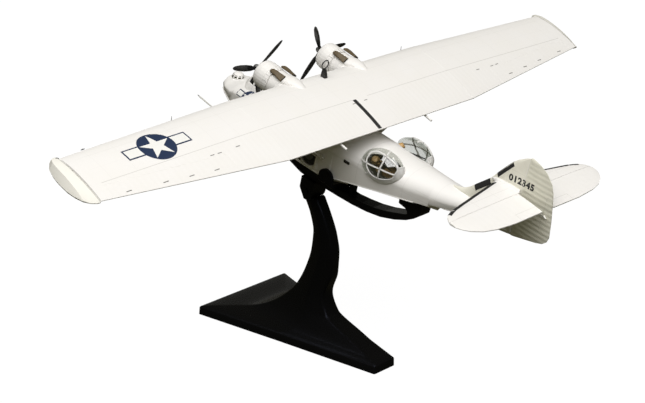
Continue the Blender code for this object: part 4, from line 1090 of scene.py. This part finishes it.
for side_name, side in SIDES:
    dress(f"blister_frame_{side_name}", blister_enamel)
    bm = bmesh.new()
    ribbon(bm, [bubble_spot(side, rail_down(a), a, 0.1) for a in range(0, 360, 5)], 0.52, 0.35, closed=True)
    for angle, start, stop in RIBS:
        start = rail_down(angle) if start is None else start
        ribbon(bm, [bubble_spot(side, start + (stop - start) * k / 16, angle, 0.1) for k in range(17)], 0.46, 0.30)
    outer = frame_sheet(bm, side, 0.30)
    inner = frame_sheet(bm, side, -0.10)
    for m in range(len(outer) - 1):
        for k in range(SHEET_STEPS):
            bm.faces.new((outer[m][k], outer[m + 1][k], outer[m + 1][k + 1], outer[m][k + 1]))
            bm.faces.new((inner[m][k], inner[m][k + 1], inner[m + 1][k + 1], inner[m + 1][k]))
        for k in (0, SHEET_STEPS):
            bm.faces.new((outer[m][k], inner[m][k], inner[m + 1][k], outer[m + 1][k]))
    for m in (0, len(outer) - 1):
        for k in range(SHEET_STEPS):
            bm.faces.new((outer[m][k], outer[m][k + 1], inner[m][k + 1], inner[m][k]))
    frame_piece = new_piece(f"blister_frame_{side_name}_moulding", bm, blister_enamel)
    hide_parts(f"blister_frame_{side_name}")
    shift = 0.0 if side > 0 else -3.6
    bm = bmesh.new()
    for points, radii in (
            (((9.6, 70.6, -31.8), (9.8, 70.6, -26.0)), [1.6, 1.0]),
            (((9.6, 68.0 + shift, -26.6), (12.4, 69.4 + shift, -23.4), (15.2, 71.2 + shift, -20.6)), [1.8, 3.0, 1.8]),
            (((8.4, 71.4, -26.6), (10.8, 71.8, -24.6), (12.4, 72.4, -23.4)), [1.3, 1.8, 1.0])):
        rod_mesh(bm, on_side(side, *points), radii, HULL_PLACE, sides=14)
    new_piece(f"gun_mount_{side_name}", bm, tan)
    bm = bmesh.new()
    rod_mesh(bm, on_side(side, (11.2, 68.4, -22.8), (14.0, 78.0, -21.8), (15.6, 86.0, -21.2)), [0.6, 0.5, 0.35],
             HULL_PLACE, sides=10)
    rod_mesh(bm, on_side(side, (10.8, 67.6, -24.0), (10.8, 67.6, -21.8)), 0.35, HULL_PLACE, sides=8)
    new_piece(f"waist_gun_{side_name}", bm, gun_black)

# The fin, rudder and tailplane are castings in white. The rudder and the elevators have fabric ribs, and a
# balance tab is engraved at the rudder's rear edge.
tail_lines = [
    ("z", -9.0, 0.25, 0.45, {}),
    ("z", 9.5, 0.22, 0.35, {}),
    ("z", 18.0, 0.22, 0.35, {}),
    ("y", 160.0, 0.22, 0.35, {"z": (-20, 22)}),
]
# The fin's enamel is dimmer and yellower than the hull's white: painted shade for its upright sides.
dress("fin", enamel("fin_enamel", HULL_PLACE, tail_lines, colour=(0.83, 0.815, 0.72)))
FIN_LEVELS = (
    # height, leading edge, half thickness, half thickness at the hinge
    (-17.5, 121.0, 1.9, 1.02),
    (-14.9, 123.2, 2.2, 1.12),
    (-14.3, 126.3, 2.3, 1.15),
    (-13.3, 129.3, 2.4, 1.18),
    (-11.8, 132.2, 2.45, 1.21),
    (-9.8, 134.9, 2.45, 1.25),
    (-6.6, 138.0, 2.4, 1.25),
    (-3.3, 141.2, 2.3, 1.25),
    (3.5, 147.8, 2.2, 1.25),
    (9.4, 151.7, 2.05, 1.22),
    (15.1, 155.7, 1.9, 1.16),
    (21.9, 160.7, 1.6, 1.04),
    (24.9, 163.7, 1.35, 0.98),
    (28.6, 169.0, 0.8, 0.76),
    (29.6, 171.2, 0.6, 0.6),
)
HINGE = 171.88
bm = bmesh.new()
rows = []
for z, lead, half, rear in FIN_LEVELS:
    ring = []
    for k in range(11):
        s = (1 - math.cos(math.pi * k / 10)) / 2
        t = max(0.0, (s - 0.3) / 0.7)
        share = t * t * (3 - 2 * t)
        bulge = half * min(1.0, 1.9 * math.sqrt(s) * (1.15 - 0.55 * s))
        ring.append((bulge * (1 - share) + rear * share, lead + (HINGE - lead) * s, z))
    ring += [(-x, y, level) for x, y, level in reversed(ring[1:])]
    rows.append([bm.verts.new(HULL_PLACE @ Vector(p)) for p in ring])
join_rings(bm, rows)
fin_piece = new_piece("fin_moulding", bm, nodes["fin"].data.materials[0])
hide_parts("fin")
# The rudder's enamel is darker still: painted shade.
dress("rudder", enamel("rudder_enamel", HULL_PLACE, [
    ("y", 189.8, 0.25, 0.7, {"z": (-11, 13)}),
    ("z", 13.0, 0.25, 0.7, {"y": (189.8, 200)}),
    ("z", -11.0, 0.25, 0.7, {"y": (189.8, 200)}),
], colour=(0.76, 0.75, 0.65), ribs=("z", 3.2, 1.0, {"y": (173.0, 200.0)})))
rudder_skin = moulded("rudder")
tailplane_enamel = enamel("tailplane_enamel", HULL_PLACE, [
    ("y", 165.6, 0.22, 0.40, {"|x|": (4, 58)}),
    ("|x|", 20.0, 0.22, 0.30, {"y": (150, 172.6)}),
    ("|x|", 38.0, 0.22, 0.30, {"y": (150, 172.6)}),
])
elevator_enamel = enamel("elevator_enamel", HULL_PLACE, [
    ("y", 186.6, 0.25, 0.5, {"|x|": (5, 24)}),
    ("|x|", 24.0, 0.25, 0.5, {"y": (186.6, 200)}),
], ribs=("x", 4.6, 0.14, {"y": (174.6, 200.0)}))
for side_name, side in SIDES:
    dress(f"tailplane_{side_name}", tailplane_enamel)
    dress(f"elevator_{side_name}", elevator_enamel)
    moulded(f"tailplane_{side_name}")
    moulded(f"elevator_{side_name}")

# Rubber de-icing boots cover the leading edges of the fin and tailplane: a matt black sheet wrapped round
# the nose of the section.
boot_rubber = finish("boot_rubber", (0.014, 0.014, 0.014), 0.7, grain=1800.0)
BOOT_LIFT = 0.10


def edge_boot(name, surface, stations, inward, sideways, depths):
    """Wraps a strip round a leading edge; stations lie on the edge, inward points into the section."""
    bm = bmesh.new()
    inward = (HULL_PLACE.to_3x3() @ Vector(inward)).normalized()
    sideways = (HULL_PLACE.to_3x3() @ Vector(sideways)).normalized()
    rows = []
    for station in stations:
        edge = HULL_PLACE @ Vector(station)
        hit, normal, index, distance = surface.ray_cast(edge - inward * 12, inward)
        nose = hit - inward * BOOT_LIFT if hit is not None else edge
        row = {0: nose}
        for number, depth in enumerate(depths, 1):
            for flip in (1, -1):
                start = nose + inward * (depth + BOOT_LIFT) + sideways * flip * 30
                hit, normal, index, distance = surface.ray_cast(start, -sideways * flip)
                row[flip * number] = hit + sideways * flip * BOOT_LIFT if hit is not None else nose + inward * depth
        rows.append([bm.verts.new(row[k]) for k in range(-len(depths), len(depths) + 1)])
    for row, next_row in zip(rows, rows[1:]):
        for k in range(len(row) - 1):
            bm.faces.new((row[k], row[k + 1], next_row[k + 1], next_row[k]))
    return new_piece(name, bm, boot_rubber)


fin_surface = skin_of(fin_piece)


def along(first, last, count):
    """Evenly spaced stations from one point to another."""
    return [tuple(a + (b - a) * k / count for a, b in zip(first, last)) for k in range(count + 1)]


edge_boot("fin_boot_upper", fin_surface, along((0, 151.7, 9.4), (0, 160.9, 22.1), 8), (0, 0.80, -0.60), (1, 0, 0),
          (0.5, 1.1, 1.9, 2.7))
edge_boot("fin_boot_lower", fin_surface, along((0, 138.0, -6.6), (0, 147.8, 3.5), 8), (0, 0.80, -0.60), (1, 0, 0),
          (0.5, 1.2, 2.4, 3.6))
for side_name, side in SIDES:
    stations = (along((side * 7.0, 154.6, 6.0), (side * 30.0, 158.9, 6.0), 6)
                + along((side * 33.0, 159.5, 6.0), (side * 60.0, 166.0, 6.0), 7))
    edge_boot(f"tailplane_boot_{side_name}", skin_of(nodes[f"tailplane_{side_name}"]), stations,
              (-side * 0.19, 0.98, 0), (0, 0, 1), (0.4, 1.0, 1.7, 2.4))

# A bulge of the casting fairs the tailplane into the fin on each side. Plain numbers are printed across the
# fin and the rudder, and they follow both skins.
bm = bmesh.new()
for side_name, side in SIDES:
    rod_mesh(bm, on_side(side, (0.9, 149.6, 5.0), (1.6, 152.6, 5.6), (2.4, 158.0, 6.0), (2.7, 166.0, 6.0),
                         (2.2, 171.4, 6.0)), [0.5, 1.5, 2.4, 2.8, 2.4], HULL_PLACE, sides=16)
new_piece("tail_fairing", bm, trim_enamel)
number_surface = skin_of(fin_piece, rudder_skin)
number_black = finish("number_black", (0.012, 0.012, 0.013), 0.5, spread=0.3)
climb = math.radians(4.0)
for side_name, side in SIDES:
    plane = plane_at(HULL_PLACE, (side * 30, 170.6, 13.2), (0, side * math.cos(climb), side * math.sin(climb)),
                     (0, -math.sin(climb), math.cos(climb)))
    transfer(f"fin_numbers_{side_name}", None, plane, number_surface, number_black, lift=0.09, cell=1.6,
             text="012345", height=5.6)

# The rudder's tab is worked by a small horn and a thin rod on each side. A strip of paint closes the hinge
# line between fin and rudder.
SEAL_LEVELS = (
    # height, half thickness
    (-17.5, 1.0),
    (-14.0, 1.16),
    (-10.5, 1.24),
    (7.0, 1.24),
    (16.5, 1.14),
    (21.7, 1.04),
    (26.6, 0.94),
    (29.2, 0.7),
)
for side_name, side in SIDES:
    hull_rod(f"rudder_horn_{side_name}", on_side(side, (0.5, 191.0, 1.1), (1.8, 192.2, 1.5), (2.0, 193.6, 1.1)),
             [0.6, 0.5, 0.3], sides=10)
    rod(f"rudder_rod_{side_name}", on_side(side, (1.8, 192.2, 1.4), (1.2, 184.6, 0.8)), 0.2, HULL_PLACE,
        metal_grey, "engine_grey", sides=6)
bm = bmesh.new()
join_rings(bm, [[bm.verts.new(HULL_PLACE @ Vector(p)) for p in (
    (half, 171.86, z), (half, 172.14, z), (-half, 172.14, z), (-half, 171.86, z))] for z, half in SEAL_LEVELS])
new_piece("rudder_hinge_seal", bm, trim_enamel, smooth=False)

# The loop aerial and its foot are satin black and stand on the hull's back. The two fuel dump pipes behind
# the wing are thin castings in white.
aerial_black = finish("aerial_satin_black", (0.020, 0.020, 0.020), 0.5)
dress("loop_aerial", aerial_black)
dress("loop_aerial_foot", aerial_black)
for side_name, side in SIDES:
    dress(f"dump_pipe_{side_name}", strut_enamel)

# The stand is black injection-moulded plastic with a soft sheen. A broad wedge of a base rises in one sweep
# into a thin curved column; the moulding's edges are slightly rounded.
plastic = finish("stand_black_plastic", (0.0058, 0.0058, 0.0060), 0.27, spread=0.3, grain=1600.0, depth=0.00002)
plastic_shader = plastic.node_tree.nodes["Principled BSDF"]
plastic_shader.inputs["Specular IOR Level"].default_value = 0.10
plastic_shader.inputs["Specular Tint"].default_value = (0.66, 0.72, 1.0, 1)
BASE_LEVELS = (
    # z, front y, front half, ridge y, ridge half, rear y, rear half
    (0.0, -65.9, 41.6, 0.0, 26.0, 72.8, 9.8),
    (5.2, -65.8, 41.4, 0.0, 25.9, 72.6, 9.6),
    (6.0, -65.1, 40.6, 0.0, 25.2, 71.9, 8.9),
    (9.0, -40.0, 16.6, 4.0, 18.6, 61.5, 7.6),
    (14.0, -29.0, 10.5, 7.0, 13.8, 46.0, 7.0),
    (22.0, -18.8, 7.8, 7.5, 10.6, 23.6, 6.2),
    (35.0, -7.4, 6.2, 7.0, 8.6, 18.0, 5.2),
    (52.0, 0.4, 5.2, 11.5, 7.0, 23.0, 4.2),
    (66.0, 4.2, 5.0, 14.5, 6.4, 23.4, 4.0),
    (78.0, 5.0, 4.9, 14.0, 6.2, 20.6, 3.9),
    (90.0, 1.4, 4.8, 9.6, 6.0, 14.8, 3.8),
    (101.4, -5.0, 5.0, 1.6, 6.0, 7.4, 4.2),
)
SOCKET_AXIS = (-1.5, 105.5)
SOCKET_RADIUS = 6.3
# steps of the smooth curve from each level to the next
LEVEL_STEPS = (1, 3, 12, 7, 7, 7, 7, 7, 7, 7, 7)


def slopes(xs, ys):
    """Slopes of a smooth curve through the points that never overshoots them."""
    steps = [(y2 - y1) / (x2 - x1) for x1, x2, y1, y2 in zip(xs, xs[1:], ys, ys[1:])]
    out = [steps[0]]
    for before, after in zip(steps, steps[1:]):
        out.append(0.0 if before * after <= 0 else 2 * before * after / (before + after))
    return out + [steps[-1]]


def eased(x1, x2, y1, y2, m1, m2, t):
    """The smooth curve between two points with the given slopes, at a share of the way."""
    span = x2 - x1
    return ((2 * t ** 3 - 3 * t ** 2 + 1) * y1 + (t ** 3 - 2 * t ** 2 + t) * span * m1
            + (3 * t ** 2 - 2 * t ** 3) * y2 + (t ** 3 - t ** 2) * span * m2)


def round_corners(points, radius):
    """Replaces each corner of a flat outline by a short curve."""
    steps = 4
    out = []
    for k, corner in enumerate(points):
        before = points[k - 1] - corner
        after = points[(k + 1) % len(points)] - corner
        reach = min(radius, before.length * 0.45, after.length * 0.45)
        first = corner + before.normalized() * reach
        last = corner + after.normalized() * reach
        for n in range(steps + 1):
            t = n / steps
            out.append(first * (1 - t) ** 2 + corner * 2 * t * (1 - t) + last * t ** 2)
    return out


def linked(name, mesh):
    """An object for a mesh, in the scene."""
    holder = bpy.data.objects.new(name, mesh)
    scene.collection.objects.link(holder)
    return holder


def carved(bm, cutter):
    """Cuts one closed mesh out of another and gives back the result."""
    meshes = []
    for shape in (bm, cutter):
        mesh = bpy.data.meshes.new("holder")
        shape.to_mesh(mesh)
        shape.free()
        meshes.append(mesh)
    holder = linked("holder", meshes[0])
    tool = linked("tool", meshes[1])
    cut = holder.modifiers.new("cut", "BOOLEAN")
    cut.object = tool
    cut.solver = "EXACT"
    depsgraph = bpy.context.evaluated_depsgraph_get()
    result = bpy.data.meshes.new_from_object(holder.evaluated_get(depsgraph))
    bpy.data.objects.remove(tool)
    bpy.data.objects.remove(holder)
    out = bmesh.new()
    out.from_mesh(result)
    bpy.data.meshes.remove(result)
    return out


heights = [level[0] for level in BASE_LEVELS]
columns = [[level[k] for level in BASE_LEVELS] for k in range(1, 7)]
tangents = [slopes(heights, column) for column in columns]
bm = bmesh.new()
rows = []
for k, steps in enumerate(LEVEL_STEPS):
    for n in range(steps + (k == len(LEVEL_STEPS) - 1)):
        t = n / steps
        z = heights[k] + (heights[k + 1] - heights[k]) * t
        front, front_half, ridge, ridge_half, rear, rear_half = (
            eased(heights[k], heights[k + 1], column[k], column[k + 1], slope[k], slope[k + 1], t)
            for column, slope in zip(columns, tangents))
        corners = [Vector(p) for p in ((front_half, front, z), (ridge_half, ridge, z), (rear_half, rear, z),
                                       (-rear_half, rear, z), (-ridge_half, ridge, z), (-front_half, front, z))]
        rows.append([bm.verts.new(p) for p in round_corners(corners, 1.4 if z < 8 else 2.0)])
join_rings(bm, rows)
bmesh.ops.recalc_face_normals(bm, faces=bm.faces)
socket = bmesh.new()
rod_mesh(socket, [(-20.0, *SOCKET_AXIS), (20.0, *SOCKET_AXIS)], SOCKET_RADIUS, Matrix.Identity(4), sides=64)
bmesh.ops.recalc_face_normals(socket, faces=socket.faces)
pedestal = new_piece("stand_pedestal_moulding", carved(bm, socket), plastic)
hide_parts("stand_pedestal")

# The knuckle, its pin, the bow of the cradle with its pad and the claw are separate mouldings in the same
# plastic, with rounded edges. The knuckle has one flat in front.
MOULDINGS = (("stand_knuckle", 0.5), ("stand_pin", 0.3), ("cradle_bow", 0.6), ("cradle_claw", 0.35),
             ("cradle_pad_mid", 0.4))
BEVEL_FROM = math.radians(28.0)
KNUCKLE_FLAT = (Vector((0.0, -0.0052, 0.1034)), Vector((0.0, -0.87, -0.49)))


def softened(node, width, flat):
    """The node's own shape with its sharp edges rounded, and one side cut flat if asked."""
    holder = linked("holder", nodes[node].data.copy())
    bevel = holder.modifiers.new("edges", "BEVEL")
    bevel.width = width * MM
    bevel.segments = 3
    bevel.limit_method = "ANGLE"
    bevel.angle_limit = BEVEL_FROM
    depsgraph = bpy.context.evaluated_depsgraph_get()
    mesh = bpy.data.meshes.new_from_object(holder.evaluated_get(depsgraph))
    bpy.data.objects.remove(holder)
    if flat is not None:
        spot, normal = flat
        bm = bmesh.new()
        bm.from_mesh(mesh)
        cut = bmesh.ops.bisect_plane(bm, geom=bm.verts[:] + bm.edges[:] + bm.faces[:], plane_co=spot,
                                     plane_no=normal, clear_outer=True)
        bmesh.ops.holes_fill(bm, edges=[e for e in cut["geom_cut"] if isinstance(e, bmesh.types.BMEdge)])
        bm.to_mesh(mesh)
        bm.free()
    mesh.name = f"{node}_moulding"
    mesh.materials.clear()
    mesh.materials.append(plastic)
    mesh.shade_smooth()
    mesh.set_sharp_from_angle(angle=DRAWN_EDGE)
    piece = linked(f"{node}_moulding", mesh)
    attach(piece, "model")
    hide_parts(node)


for node, width in MOULDINGS:
    softened(node, width, KNUCKLE_FLAT if node == "stand_knuckle" else None)
